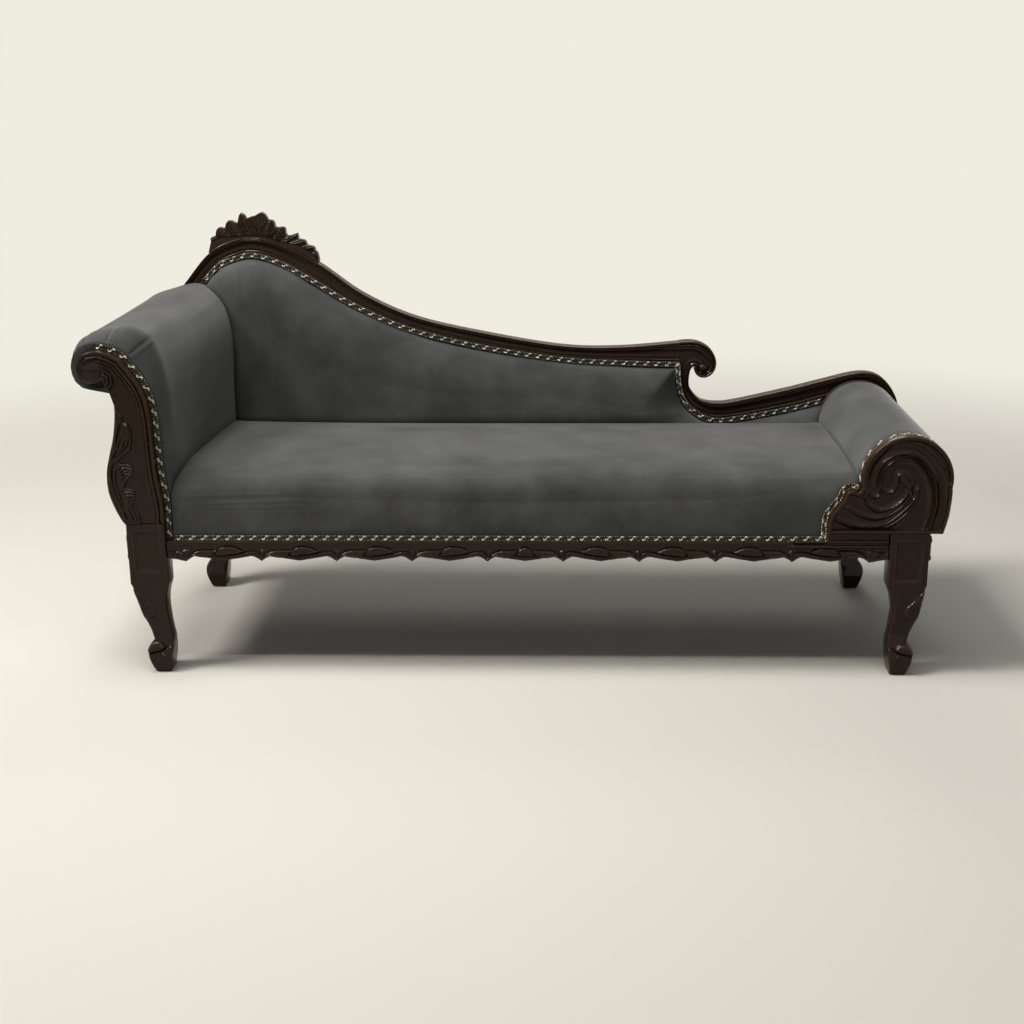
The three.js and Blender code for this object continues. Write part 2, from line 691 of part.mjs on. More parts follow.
function addHeadArmFrame() {
  const contour = through(armPlace(armContourShares), 2);
  const outer = armPlace(armBoardOuterShares);
  const outline = grown([...contour, ...outer], -fitGap);
  const front = headPostThickness + fitGap;
  const rear = railFaceSetback - fitGap - armBoardThickness;
  addPiece('head_arm_front_board', upright(outline, front, armBoardThickness), plainWood);
  addPiece('head_arm_rear_board', upright(outline, rear, armBoardThickness), plainWood);
  const slatFront = front + armBoardThickness + fitGap;
  const slatLength = rear - fitGap - slatFront;
  const edge = through(armPlace(armContourShares), 1);
  const inward = leftNormals(edge);
  for (const [name, share] of Object.entries(armSlatShares)) {
    const i = Math.round(share * (edge.length - 1));
    const along = new THREE.Vector2(inward[i].y, -inward[i].x);
    const middle = edge[i].clone().addScaledVector(inward[i], armSlatThickness / 2 + armSlatSetback);
    const corners = [[-1, -1], [1, -1], [1, 1], [-1, 1]].map(([a, b]) => middle.clone()
      .addScaledVector(along, (a * armSlatWidth) / 2)
      .addScaledVector(inward[i], (b * armSlatThickness) / 2));
    addPiece(`head_arm_${name}_slat`, upright(corners, slatFront, slatLength), plainWood);
  }
}

// Crest rail and foot back rail as pairs of points on their outer and inner edges.
const crestEdgeShares = [
  [0, 0.812, 0.0245, 0.806], [0.044, 0.928, 0.058, 0.885], [0.088, 0.983, 0.095, 0.924],
  [0.136, 1, 0.13, 0.938], [0.19, 0.963, 0.178, 0.907], [0.256, 0.884, 0.24, 0.83],
  [0.335, 0.757, 0.322, 0.716], [0.435, 0.654, 0.427, 0.611], [0.575, 0.58, 0.568, 0.533],
  [0.714, 0.528, 0.712, 0.482], [0.82, 0.523, 0.82, 0.467], [0.93, 0.543, 0.9295, 0.4587],
];
const railProfileShares = [
  [1, 0.9], [0.95, 0.1], [0.86, 0.1], [0.8, 0.85], [0.7, 0.5],
  [0.45, 0.8], [0.22, 0.5], [0.14, 0.05], [0.05, 0.1], [0, 0.7],
];
const curlCentreShare = [0.9767, 0.426];
const gapApexShare = [0.9585, 0.44];
const crestSteps = 3; // facets between two points of the crest rail
const footRailSteps = 2;
const curlTurns = { from: 109, to: -185, step: -14 };
const stemShares = [
  [0.307, 0.87, 0.063, 0.88], [0.275, 0.62, 0.075, 0.7], [0.3, 0.42, 0.13, 0.5],
  [0.42, 0.23, 0.225, 0.34], [0.62, 0.06, 0.42, 0.175], [1, 0, 0.85, 0.015],
];
const footRunShares = [[0.14, 0.698, 0.13, 0.533], [0.5, 0.819, 0.5, 0.637], [0.741, 0.912, 0.75, 0.735]];
const footArchShares = [
  [0, 1, 0, 0.8], [0.575, 0.9, 0.39, 0.675], [0.97, 0.48, 0.668, 0.34], [1.07, 0, 0.7, 0],
  [1, -0.6, 0.6, -0.6], [0.86, -1, 0.35, -1],
];
const stemLowShares = [0.674, 0.516]; // height of that point on the outer and inner edge

// Splits rows of paired shares into smooth outer and inner lines.
function pairLines(rows, stepsPerSpan) {
  return {
    outer: through(rows.map((row) => row[0]), stepsPerSpan),
    inner: through(rows.map((row) => row[1]), stepsPerSpan),
  };
}

function crestPoint([x, z]) {
  return new THREE.Vector2(crestLeft + x * crestSpan, footLegHeight + z * crestRise);
}

function crestLines() {
  const rows = crestEdgeShares.map(([ox, oz, ix, iz]) => [crestPoint([ox, oz]), crestPoint([ix, iz])]);
  return pairLines(rows, crestSteps);
}

function footRailLines() {
  const seam = new THREE.Vector2(0, -fitGap * 2);
  const lastRow = crestEdgeShares[crestEdgeShares.length - 1];
  const innerTop = crestPoint([lastRow[2], lastRow[3]]).add(seam);
  const outerTop = crestPoint(gapApexShare).add(seam);
  const roll = voluteRadius + footRailCrown;
  const rise = voluteZ + roll - footLegHeight;
  const [outerLow, innerLow] = stemLowShares.map((share) => footLegHeight + share * rise);
  const stem = stemShares.map(([ox, oz, ix, iz]) => [
    new THREE.Vector2(innerTop.x + ox * stemRun, outerLow + oz * (outerTop.y - outerLow)),
    new THREE.Vector2(innerTop.x + ix * stemRun, innerLow + iz * (innerTop.y - innerLow)),
  ]);
  const start = innerTop.x + stemRun;
  const run = footRunShares.map(([ox, oz, ix, iz]) => [
    new THREE.Vector2(start + ox * (voluteX - start), footLegHeight + oz * rise),
    new THREE.Vector2(start + ix * (voluteX - start), footLegHeight + iz * rise),
  ]);
  const foot = voluteZ - footLegHeight - fitGap * 2;
  const arch = footArchShares.map(([ox, oz, ix, iz]) => [
    new THREE.Vector2(voluteX + ox * voluteRadius, voluteZ + oz * (oz < 0 ? foot : roll)),
    new THREE.Vector2(voluteX + ix * voluteRadius, voluteZ + iz * (iz < 0 ? foot : voluteRadius)),
  ]);
  return pairLines([[outerTop, innerTop], ...stem, ...run, ...arch], footRailSteps);
}

// Spiral edge of the curl that ends the crest rail, shrinking towards its eye.
function curlLine(inset) {
  const centre = crestPoint(curlCentreShare);
  const points = [];
  for (let turn = curlTurns.from; turn >= curlTurns.to; turn += curlTurns.step) {
    const share = (turn - curlTurns.to) / (curlTurns.from - curlTurns.to);
    points.push(polar(centre.x, centre.y, curlEyeRadius + curlThroatReach * share ** 4 - inset, turn));
  }
  return points;
}

function addCrestRail() {
  const { outer, inner } = crestLines();
  const rail = railBetween(outer, inner, railFaceSetback, crestThickness, railProfileShares);
  const end = outer.length - 1;
  const back = new THREE.Vector2(cutOverrun, 0);
  const face = railFaceSetback + mouldingDepth / 2;
  const outline = [
    outer[end].clone().sub(back),
    ...curlLine(0),
    crestPoint(gapApexShare),
    inner[end].clone(),
    inner[end].clone().sub(back),
  ];
  const curl = upright(outline, face, crestThickness - mouldingDepth / 2);
  const beadStart = outer[end].clone().sub(new THREE.Vector2(cutOverrun, mouldingDepth));
  const bead = [beadStart, ...curlLine(mouldingDepth)];
  const centre = crestPoint(curlCentreShare);
  const button = new THREE.SphereGeometry(curlButtonRadius, 12, 8);
  button.scale(1, mouldingDepth / curlButtonRadius, 1);
  button.translate(centre.x, face, centre.y);
  const parts = [curl, ridge(bead, face, mouldingDepth, mouldingDepth / 2), button];
  addPiece('crest_rail', join(rail, parts), espressoWood);
}

function addFootBackRail() {
  const { outer, inner } = footRailLines();
  const rail = railBetween(outer, inner, railFaceSetback, crestThickness, railProfileShares);
  addPiece('foot_back_rail', rail, espressoWood);
}

// Fan of leaves on top of the crest: tips and notches along its length, in shares of length and rise.
const carvingStartShare = 0.0449;
const carvingEdgeShares = [
  [0, -0.632], [0.027, -0.119], [0.035, -0.003], [0.075, 0.068], [0.079, 0.193], [0.102, 0.381],
  [0.133, 0.378], [0.161, 0.342], [0.175, 0.549], [0.196, 0.659], [0.222, 0.654], [0.258, 0.571],
  [0.28, 0.564], [0.29, 0.78], [0.311, 0.966], [0.334, 0.902], [0.36, 0.729], [0.406, 0.829],
  [0.426, 0.82], [0.496, 1], [0.527, 0.897], [0.555, 0.683], [0.593, 0.659], [0.608, 0.575],
  [0.614, 0.414], [0.63, 0.378], [0.691, 0.395], [0.706, 0.322], [0.719, 0.054], [0.751, 0.053],
  [0.813, 0.141], [0.821, -0.085], [0.87, -0.129], [0.892, -0.308], [0.948, -0.381], [0.968, -0.58],
  [0.99, -0.688], [1, -1.051],
];
const carvingRibShares = [
  [0.052, -0.034], [0.108, 0.322], [0.202, 0.593], [0.309, 0.864], [0.405, 0.746], [0.491, 0.898],
  [0.585, 0.576], [0.683, 0.322], [0.803, 0.068], [0.867, -0.203], [0.946, -0.458],
];
const carvingOriginShare = [0.45, -0.5];
const carvingRunShares = [0.62, 0.75, 0.88, 1]; // along a rib, from the origin of the fan to its tip

function addCrestCarving() {
  const { outer } = crestLines();
  const x0 = crestPoint([carvingStartShare, 0]).x;
  const z0 = crestPoint([0, 1]).y;
  const edge = place(carvingEdgeShares, x0, carvingLength, z0, carvingRise);
  const raised = shifted(outer, fitGap * 2);
  const seat = raised.filter((p) => p.x > x0 && p.x < x0 + carvingLength);
  const front = railFaceSetback + (crestThickness - carvingThickness) / 2;
  const body = upright([...edge, ...seat.reverse()], front, carvingThickness);
  const [origin] = place([carvingOriginShare], x0, carvingLength, z0, carvingRise);
  const ribs = place(carvingRibShares, x0, carvingLength, z0, carvingRise).map((tip) => {
    const line = carvingRunShares.map((share) => origin.clone().lerp(tip, share));
    return ridge(line, front, carvingRibWidth, carvingRibHeight, leafTaper);
  });
  const railZone = [...raised, ...shifted(raised, -crestThickness).reverse()];
  const clear = upright(railZone, front - cutOverrun, carvingThickness + 2 * cutOverrun);
  addPiece('crest_carving', cut(join(body, ribs), [clear]), espressoWood);
}

// Gimp braid: a flat band with softened edges, laid beside a line, its back at depth y
const gimpTopShare = 0.8;
const gimpOffset = gimpWidth / 2 + gimpClearance;

function gimpBand(line, y, grow = 0) {
  const half = gimpWidth / 2 + grow;
  const [back, front] = [y + grow, y - gimpThickness - grow];
  const top = half * gimpTopShare;
  const section = [[-half, back], [-top, front], [top, front], [half, back]];
  return sweep(line, section.map(([x, d]) => new THREE.Vector2(x, d)));
}

// Line under the crest, down the stem and along the foot back rail that the back is stretched to.
function backEdgeLine() {
  return [...crestLines().inner, ...footRailLines().inner.slice(1)];
}

// The stretch of a line that runs along the couch between two places.
function stretch(line, x0, x1) {
  const at = (x) => {
    const i = line.findIndex((p) => p.x > x);
    const [a, b] = [line[i - 1], line[i]];
    return a.clone().lerp(b, (x - a.x) / (b.x - a.x));
  };
  const first = line.findIndex((p) => p.x > x0 + fitGap);
  const last = line.findIndex((p) => p.x >= x1 - fitGap);
  return [at(x0), ...line.slice(first, last), at(x1)];
}

const backGimpStartShare = 0.045; // along the crest, where the head arm hides the rest

function backGimp(grow) {
  const line = shifted(backEdgeLine(), -gimpOffset);
  const run = stretch(line, crestPoint([backGimpStartShare, 0]).x, voluteX - rollRadius - gimpWidth / 2);
  return gimpBand(run, padBack - backPadEdge - fitGap, grow);
}

const backCrownShares = [1, 0.35, 0.12, 0]; // rows of the pad between full thickness and its edge
const backFitShare = 0.9; // share of a low stretch of the back that the crown may take

function backPad(grow) {
  const edge = backEdgeLine();
  const run = stretch(edge, edge[0].x + fitGap, voluteX - rollRadius + rollPadThickness / 2);
  const line = shifted(run, grow - fitGap * 2);
  const bottom = deckTop + fitGap - grow;
  let lastX = -Infinity;
  const rings = line.map((p, i) => {
    const x = Math.max(p.x, lastX + fitGap) + (i === line.length - 1 ? grow : 0);
    lastX = x;
    const height = p.y - bottom;
    const fit = Math.min(1, (height * backFitShare) / (gimpLand + backCrownRun));
    const crownDrops = backCrownShares.map((share) => (gimpLand + share * backCrownRun) * fit);
    const drops = [height, ...crownDrops, 0];
    const front = drops.map((drop) => {
      const z = p.y - drop;
      const inside = Math.max(0, distanceToLine(x, z, line) - gimpLand) / backCrownRun;
      const crown = Math.sqrt(1 - (1 - Math.min(inside, 1)) ** 2);
      const depth = backPadEdge + (backPadThickness - backPadEdge) * crown;
      return new THREE.Vector3(x, padBack - depth - grow, z);
    });
    return [...front, new THREE.Vector3(x, padBack + grow, p.y), new THREE.Vector3(x, padBack + grow, bottom)];
  });
  const section = rings[Math.floor(rings.length / 2)].map((p) => new THREE.Vector2(p.y, p.z));
  return loft(rings, section);
}

// Head arm pad: its section follows the contour and swells towards the back.
const armRearPower = 1.7;
const armRoundShares = [0, 0.1, 0.4, 1]; // sections through the rounding behind the gimp
const armRunShares = [0.14, 0.32, 0.6, 1]; // sections from there to the back
const armGimpEndShare = 0.77; // along the contour, where the gimp ends under the scroll

function armPad(grow) {
  const deckShare = (deckTop + fitGap - postBottom) / headPostRise;
  const rows = [[0, deckShare, ...armContourShares[0].slice(2)], ...armContourShares];
  const contour = through(armPlace(rows), 2);
  const stuffing = through(rows.map((row) => new THREE.Vector2(row[2], row[3])), 2);
  const outward = leftNormals(contour).map((n) => n.negate());
  const front = headPostThickness + fitGap;
  const rear = railFaceSetback - fitGap;
  const stations = armRoundShares.map((share) => front + share * armPadRounding);
  stations.push(...armRunShares.map((share) => front + share * (rear - front)));
  const rings = stations.map((y, k) => {
    const along = Math.max(0, y - front - armPadRounding) / (rear - front - armPadRounding);
    const swell = 1 - (1 - along) ** armRearPower;
    const near = Math.min((y - front) / armPadRounding, 1);
    const round = Math.sqrt(1 - (1 - near) ** 2);
    const depth = k === 0 ? y - grow : y + (k === stations.length - 1 ? grow : 0);
    const outer = contour.map((p, i) => {
      const full = armPadThickness * stuffing[i].x * (stuffing[i].y + (1 - stuffing[i].y) * swell);
      const thick = gimpLand + (full - gimpLand) * round + grow;
      const at = p.clone().addScaledVector(outward[i], thick);
      return new THREE.Vector3(at.x, depth, i === 0 ? p.y - grow : at.y);
    });
    const inner = contour.map((p, i) => {
      const at = p.clone().addScaledVector(outward[i], fitGap - grow);
      return new THREE.Vector3(at.x, depth, i === 0 ? p.y - grow : at.y);
    });
    return [...outer, ...inner.reverse()];
  });
  const section = rings[rings.length - 1].map((p) => new THREE.Vector2(p.x, p.z));
  return loft(rings, section);
}

// Roll pad: a sleeve round the boards, held in by a gimp at each end.
const rollRoundShares = [0.25, 0.66]; // how far along the rounding, and how far swollen there
const rollTurns = { from: -6, to: 222, step: 12 };
const rollCore = rollRadius - rollPadThickness;

function rollPad(grow) {
  const front = voluteThickness + fitGap;
  const rear = railFaceSetback - fitGap;
  const swellFrom = front + gimpWidth + fitGap * 2;
  const swellTo = rear - gimpWidth - fitGap * 2;
  const [roundShare, roundSwell] = rollRoundShares;
  const rounding = rollRounding * roundShare;
  const stations = [
    [front, 0], [swellFrom, 0], [swellFrom + rounding, roundSwell], [swellFrom + rollRounding, 1],
    [swellTo - rollRounding, 1], [swellTo - rounding, roundSwell], [swellTo, 0], [rear, 0],
  ];
  const rings = stations.map(([y, swell], k) => {
    const depth = k === 0 ? y - grow : y + (k === stations.length - 1 ? grow : 0);
    const radius = rollLandRadius + (rollRadius - rollLandRadius) * swell + grow;
    const arc = (r) => {
      const points = [];
      for (let turn = rollTurns.from; turn <= rollTurns.to; turn += rollTurns.step) {
        const p = polar(voluteX, voluteZ, r, turn);
        points.push(new THREE.Vector3(p.x, depth, p.y));
      }
      return points;
    };
    return [...arc(radius), ...arc(rollCore - grow).reverse()];
  });
  const section = rings[0].map((p) => new THREE.Vector2(p.x, p.z));
  return loft(rings, section);
}

// Seat: an upright front, a rounded edge and a crown, with a flap down over the front rail.
const seatTopShares = [
  [0.015, 0.3], [0.05, 0.58], [0.12, 0.8], [0.28, 0.95], [0.5, 1], [0.75, 0.96], [0.93, 0.84], [1, 0.6],
];
const seatStationShares = [0, 0.02, 0.06, 0.14, 0.26, 0.42, 0.58, 0.74, 0.86, 0.94, 0.98, 1];
const seatUnderRollShare = 0.75; // seat end under the roll, in roll radii from its centre
const seatEndPower = 6;

function seatBody() {
  const [x0, x1] = [-legFace + gimpLand + fitGap, voluteX - voluteRadius * seatUnderRollShare];
  const rear = padFront - fitGap;
  const bottom = deckTop + fitGap;
  const flapBack = frontRailFace - fitGap;
  const flapBottom = apronTopHeight + fitGap;
  const depth = rear - seatFrontSetback;
  const rings = seatStationShares.map((share) => {
    const x = x0 + share * (x1 - x0);
    const drop = seatEndDrop * Math.abs(2 * share - 1) ** seatEndPower;
    const top = seatTopShares.map(([back, rise]) => {
      const z = seatFrontHeight + rise * (seatCrownHeight - seatFrontHeight) - drop * rise;
      return new THREE.Vector3(x, seatFrontSetback + back * depth, z);
    });
    return [
      new THREE.Vector3(x, seatFrontSetback, flapBottom),
      new THREE.Vector3(x, seatFrontSetback, seatFrontHeight),
      ...top,
      new THREE.Vector3(x, rear, bottom),
      new THREE.Vector3(x, flapBack, bottom),
      new THREE.Vector3(x, flapBack, flapBottom),
    ];
  });
  const section = rings[0].map((p) => new THREE.Vector2(p.y, p.z));
  return loft(rings, section);
}

// Space taken by the boards and slats of the head arm, down to the deck.
function armCore(grow) {
  const deck = (deckTop - cutOverrun - postBottom) / headPostRise;
  const contour = through(armPlace(armContourShares), 2);
  const outer = armPlace(armBoardOuterShares);
  const foot = armPlace([[armBoardOuterShares[2][0], deck], [0, deck]]);
  const outline = grown([...contour, ...outer, ...foot], grow);
  return upright(outline, headPostThickness, frameDepth);
}

// Band round the end of the roll.
function rollGimp(y, grow) {
  return sweep(voluteArcPoints(rollLandRadius), [
    new THREE.Vector2(fitGap - grow, y - grow),
    new THREE.Vector2(gimpThickness + grow, y - grow),
    new THREE.Vector2(gimpThickness + grow, y + gimpWidth + grow),
    new THREE.Vector2(fitGap - grow, y + gimpWidth + grow),
  ]);
}

const rollRearGimpY = railFaceSetback - fitGap - gimpWidth;

function addSoftPieces() {
  const gimpCut = backGimp(fitGap);
  const backCuts = [gimpCut, armCore(0), rollPad(fitGap), rollGimp(rollRearGimpY, fitGap)];
  addPiece('back_pad', cut(backPad(0), backCuts), charcoalVelvet);
  addPiece('back_gimp', backGimp(0), gimpBraid);
  addPiece('head_arm_pad', cut(armPad(0), [backPad(fitGap), gimpCut]), charcoalVelvet);
  addPiece('foot_roll_pad', rollPad(0), charcoalVelvet);
  const pocket = upright(grown(voluteOutline(), fitGap), -cutOverrun, voluteThickness + cutOverrun + fitGap);
  const plinth = block(
    voluteLeft - fitGap, legFace, -cutOverrun, frontRailFace, apronTopHeight, deckTop + fitGap * 2,
  );
  const seat = cut(seatBody(), [armPad(fitGap), rollPad(fitGap), pocket, plinth]);
  addPiece('seat_cushion', seat, charcoalVelvet);
}

function addTrim() {
  const seatGimpY = seatFrontSetback - fitGap;
  const z = apronTopHeight + fitGap + gimpWidth / 2;
  const line = [
    new THREE.Vector2(-legFace + gimpLand, z),
    new THREE.Vector2(voluteLeft - gimpOffset * 2, z),
  ];
  addPiece('seat_front_gimp', gimpBand(line, seatGimpY), gimpBraid);
  const foot = new THREE.Vector2(voluteLeft, apronTopHeight + fitGap);
  addPiece('volute_gimp', gimpBand(shifted([foot, ...voluteOgee()], gimpOffset), seatGimpY), gimpBraid);
  const postFoot = new THREE.Vector2(-legFace, apronTopHeight + fitGap);
  const arm = through(armPlace(armContourShares), 2);
  const contour = [postFoot, ...arm.slice(0, Math.round(armGimpEndShare * arm.length))];
  addPiece('head_arm_gimp', gimpBand(shifted(contour, -gimpOffset), headPostThickness), gimpBraid);
  addPiece('roll_front_gimp', rollGimp(voluteThickness + fitGap, 0), gimpBraid);
  addPiece('roll_rear_gimp', rollGimp(rollRearGimpY, 0), gimpBraid);
}

// Boards and slats inside the foot roll.
const rollSlatTurns = { upper: 70, inner: 130, lower: 190, outer: 10 };
const rollBoardTurns = { from: -50, to: 240, step: 10 };

function addFootRollFrame() {
  const radius = rollCore - fitGap * 2;
  const arc = [];
  for (let turn = rollBoardTurns.from; turn <= rollBoardTurns.to; turn += rollBoardTurns.step) {
    arc.push(polar(voluteX, voluteZ, radius, turn));
  }
  const footLeft = legFace + fitGap;
  const footRight = legOuter - outsidePanelThickness - fitGap * 2;
  const outline = [...arc, new THREE.Vector2(footLeft, panelBottom), new THREE.Vector2(footRight, panelBottom)];
  const front = voluteThickness + fitGap;
  const rear = railFaceSetback - fitGap - rollBoardThickness;
  addPiece('roll_front_board', upright(outline, front, rollBoardThickness), plainWood);
  addPiece('roll_rear_board', upright(outline, rear, rollBoardThickness), plainWood);
  const slatFront = front + rollBoardThickness + fitGap;
  const slatLength = rear - fitGap - slatFront;
  const reach = Math.sqrt(radius ** 2 - (rollSlatWidth / 2) ** 2);
  for (const [name, turn] of Object.entries(rollSlatTurns)) {
    const out = polar(0, 0, 1, turn);
    const along = new THREE.Vector2(-out.y, out.x);
    const corner = (a, r) => new THREE.Vector2(voluteX, voluteZ)
      .addScaledVector(along, (a * rollSlatWidth) / 2)
      .addScaledVector(out, r);
    const inside = reach - rollSlatThickness;
    const corners = [corner(-1, inside), corner(1, inside), corner(1, reach), corner(-1, reach)];
    addPiece(`roll_${name}_slat`, upright(corners, slatFront, slatLength), plainWood);
  }
}

// Uprights of the back, from the rear rail and leg to the underside of the show-wood rail
const stemStileShare = 0.8924; // left edge of the stile beside the stem, along the crest

function addBackFrame() {
  const lines = [...crestLines().inner, ...footRailLines().inner.slice(1)];
  const innerZ = (x) => {
    const i = lines.findIndex((p) => p.x >= x);
    const [a, b] = [lines[Math.max(i - 1, 0)], lines[i]];
    return a.y + ((x - a.x) / (b.x - a.x || 1)) * (b.y - a.y);
  };
  const front = padBack + fitGap;
  const { outer, inner } = crestLines();
  const below = fitGap * 2;
  const headLeft = outer[0];
  const headRight = inner[0];
  const head = [
    new THREE.Vector2(headLeft.x, headLegHeight + fitGap),
    new THREE.Vector2(headRight.x, headLegHeight + fitGap),
    new THREE.Vector2(headRight.x, headRight.y - below),
    new THREE.Vector2(headLeft.x, headLeft.y - below),
  ];
  addPiece('back_stile_head', upright(head, front, stileThickness), plainWood);
  const stemX = crestPoint([stemStileShare, 0]).x;
  const footX = voluteX - rollRadius - stileWidth;
  const centreX = (headRight.x + stemX) / 2;
  for (const [name, x] of Object.entries({ centre: centreX, stem: stemX, foot: footX })) {
    const right = x + stileWidth;
    const outline = [
      new THREE.Vector2(x, railTop + fitGap),
      new THREE.Vector2(right, railTop + fitGap),
      new THREE.Vector2(right, innerZ(right) - below),
      new THREE.Vector2(x, innerZ(x) - below),
    ];
    addPiece(`back_stile_${name}`, upright(outline, front, stileThickness), plainWood);
  }
}

// Cloth-covered panels that close the back and the outer faces of the arm and the roll.
function addOutsidePanels() {
  const crest = crestLines();
  const foot = footRailLines();
  const edge = [...crest.inner, ...foot.inner.slice(1)];
  const lower = railBottom;
  const inside = shifted(edge, -fitGap * 2);
  const lastFoot = inside[inside.length - 1];
  const outline = [
    new THREE.Vector2(crestLeft, lower),
    new THREE.Vector2(crestLeft, crest.outer[0].y - fitGap * 3),
    ...inside,
    new THREE.Vector2(lastFoot.x, lower),
  ];
  const y = padBack + stileThickness + fitGap * 2;
  addPiece('outside_back_panel', upright(outline, y, outsidePanelThickness), charcoalVelvet);
  const armX = -legFace - armBoardOuterShares[1][0] * headPostReach - fitGap;
  const [armFront, armRear] = [headPostThickness + fitGap, railFaceSetback - fitGap];
  const armTop = postBottom + armBoardOuterShares[1][1] * headPostRise;
  const arm = block(armX - outsidePanelThickness, armX, armFront, armRear, postBottom, armTop);
  addPiece('outside_arm_panel', arm, charcoalVelvet);
  const top = polar(voluteX, voluteZ, rollLandRadius - fitGap * 4, rollTurns.from - 1);
  const roll = [
    new THREE.Vector2(top.x - outsidePanelThickness, top.y),
    top,
    new THREE.Vector2(legOuter, panelBottom),
    new THREE.Vector2(legOuter - outsidePanelThickness, panelBottom),
  ];
  const [rollFront, rollRear] = [voluteThickness + fitGap, railFaceSetback - fitGap];
  addPiece('outside_roll_panel', upright(roll, rollFront, rollRear - rollFront), charcoalVelvet);
}

addLegs();
addRails();
addCornerBlocks();
addWebbing();
addDustCover();
addVolutePanel();
addApron();
addSideAprons();
addHeadPost();
addHeadArmFrame();
addCrestRail();
addFootBackRail();
addCrestCarving();
addBackFrame();
addFootRollFrame();
addSoftPieces();
addTrim();
addOutsidePanels();

// The working origin is on the front face between the legs; the couch is centred over its own outline.
const bounds = new THREE.Box3().setFromObject(couch, true);
const centre = bounds.getCenter(new THREE.Vector3());
couch.position.set(-centre.x, -centre.y, -bounds.min.z);

const part = new THREE.Group();
part.add(couch);
export default part;
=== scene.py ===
import math

import bmesh
import bpy
import numpy as np
from mathutils import Matrix, Vector
from mathutils.geometry import delaunay_2d_cdt


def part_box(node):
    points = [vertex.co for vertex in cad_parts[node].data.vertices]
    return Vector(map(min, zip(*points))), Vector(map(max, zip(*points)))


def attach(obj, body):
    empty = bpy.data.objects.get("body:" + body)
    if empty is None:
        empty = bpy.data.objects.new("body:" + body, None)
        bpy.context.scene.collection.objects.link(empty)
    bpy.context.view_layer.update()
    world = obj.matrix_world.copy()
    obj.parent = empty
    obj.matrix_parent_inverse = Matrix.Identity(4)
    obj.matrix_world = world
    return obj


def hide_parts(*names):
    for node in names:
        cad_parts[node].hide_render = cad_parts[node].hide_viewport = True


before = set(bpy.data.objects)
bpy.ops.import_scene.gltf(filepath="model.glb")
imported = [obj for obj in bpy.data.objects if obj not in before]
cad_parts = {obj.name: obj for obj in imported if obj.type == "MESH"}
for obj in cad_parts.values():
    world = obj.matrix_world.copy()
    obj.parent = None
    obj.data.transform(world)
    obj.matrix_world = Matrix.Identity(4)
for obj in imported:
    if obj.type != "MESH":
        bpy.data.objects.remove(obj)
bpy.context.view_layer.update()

# ---------------------------------------------------------------------------------------------
# Legs. Four cabriole legs sawn from thick hardwood plank, with a square block at the top that the
# rails are tenoned into. The front pair is carved: a sunk panel on the block, a leaf on the knee,
# a bead down the inner edge and a scrolled toe. Stained espresso and lacquered.

# Lines are drawn in millimetres in the front view: x from the couch's middle, y from the front faces
# of the legs and z from the floor.
MM = 0.001
LEG_FACE = 766.0  # middle of the couch to the inner face of a leg
LEG_WIDTH = 82.0
LEG_THICKNESS = 50.0
FRAME_DEPTH = 610.0
origin = np.array([
    (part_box("front_head_leg")[1].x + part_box("front_foot_leg")[0].x) / 2,
    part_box("rear_seat_rail")[1].y - FRAME_DEPTH * MM,
    0.0,
])


def colour(code):
    """An sRGB hex colour as the linear values that a socket takes."""
    parts = [int(code[i : i + 2], 16) / 255 for i in (1, 3, 5)]
    return [p / 12.92 if p < 0.04045 else ((p + 0.055) / 1.055) ** 2.4 for p in parts] + [1]


def node(tree, kind, inputs=(), **settings):
    """Adds a node: its settings by name, and its inputs as values or as sockets to link."""
    made = tree.nodes.new("ShaderNode" + kind)
    for name, value in settings.items():
        setattr(made, name, value)
    for socket, value in dict(inputs).items():
        if isinstance(value, bpy.types.NodeSocket):
            tree.links.new(value, made.inputs[socket])
        else:
            made.inputs[socket].default_value = value
    return made


def new_material(name, **surface):
    """A material with its tree and its shader, plain values set on the shader's own sockets."""
    made = bpy.data.materials.new(name)
    made.use_nodes = True
    tree = made.node_tree
    shader = tree.nodes["Principled BSDF"]
    for socket, value in surface.items():
        shader.inputs[socket.replace("_", " ")].default_value = value
    return made, tree, shader


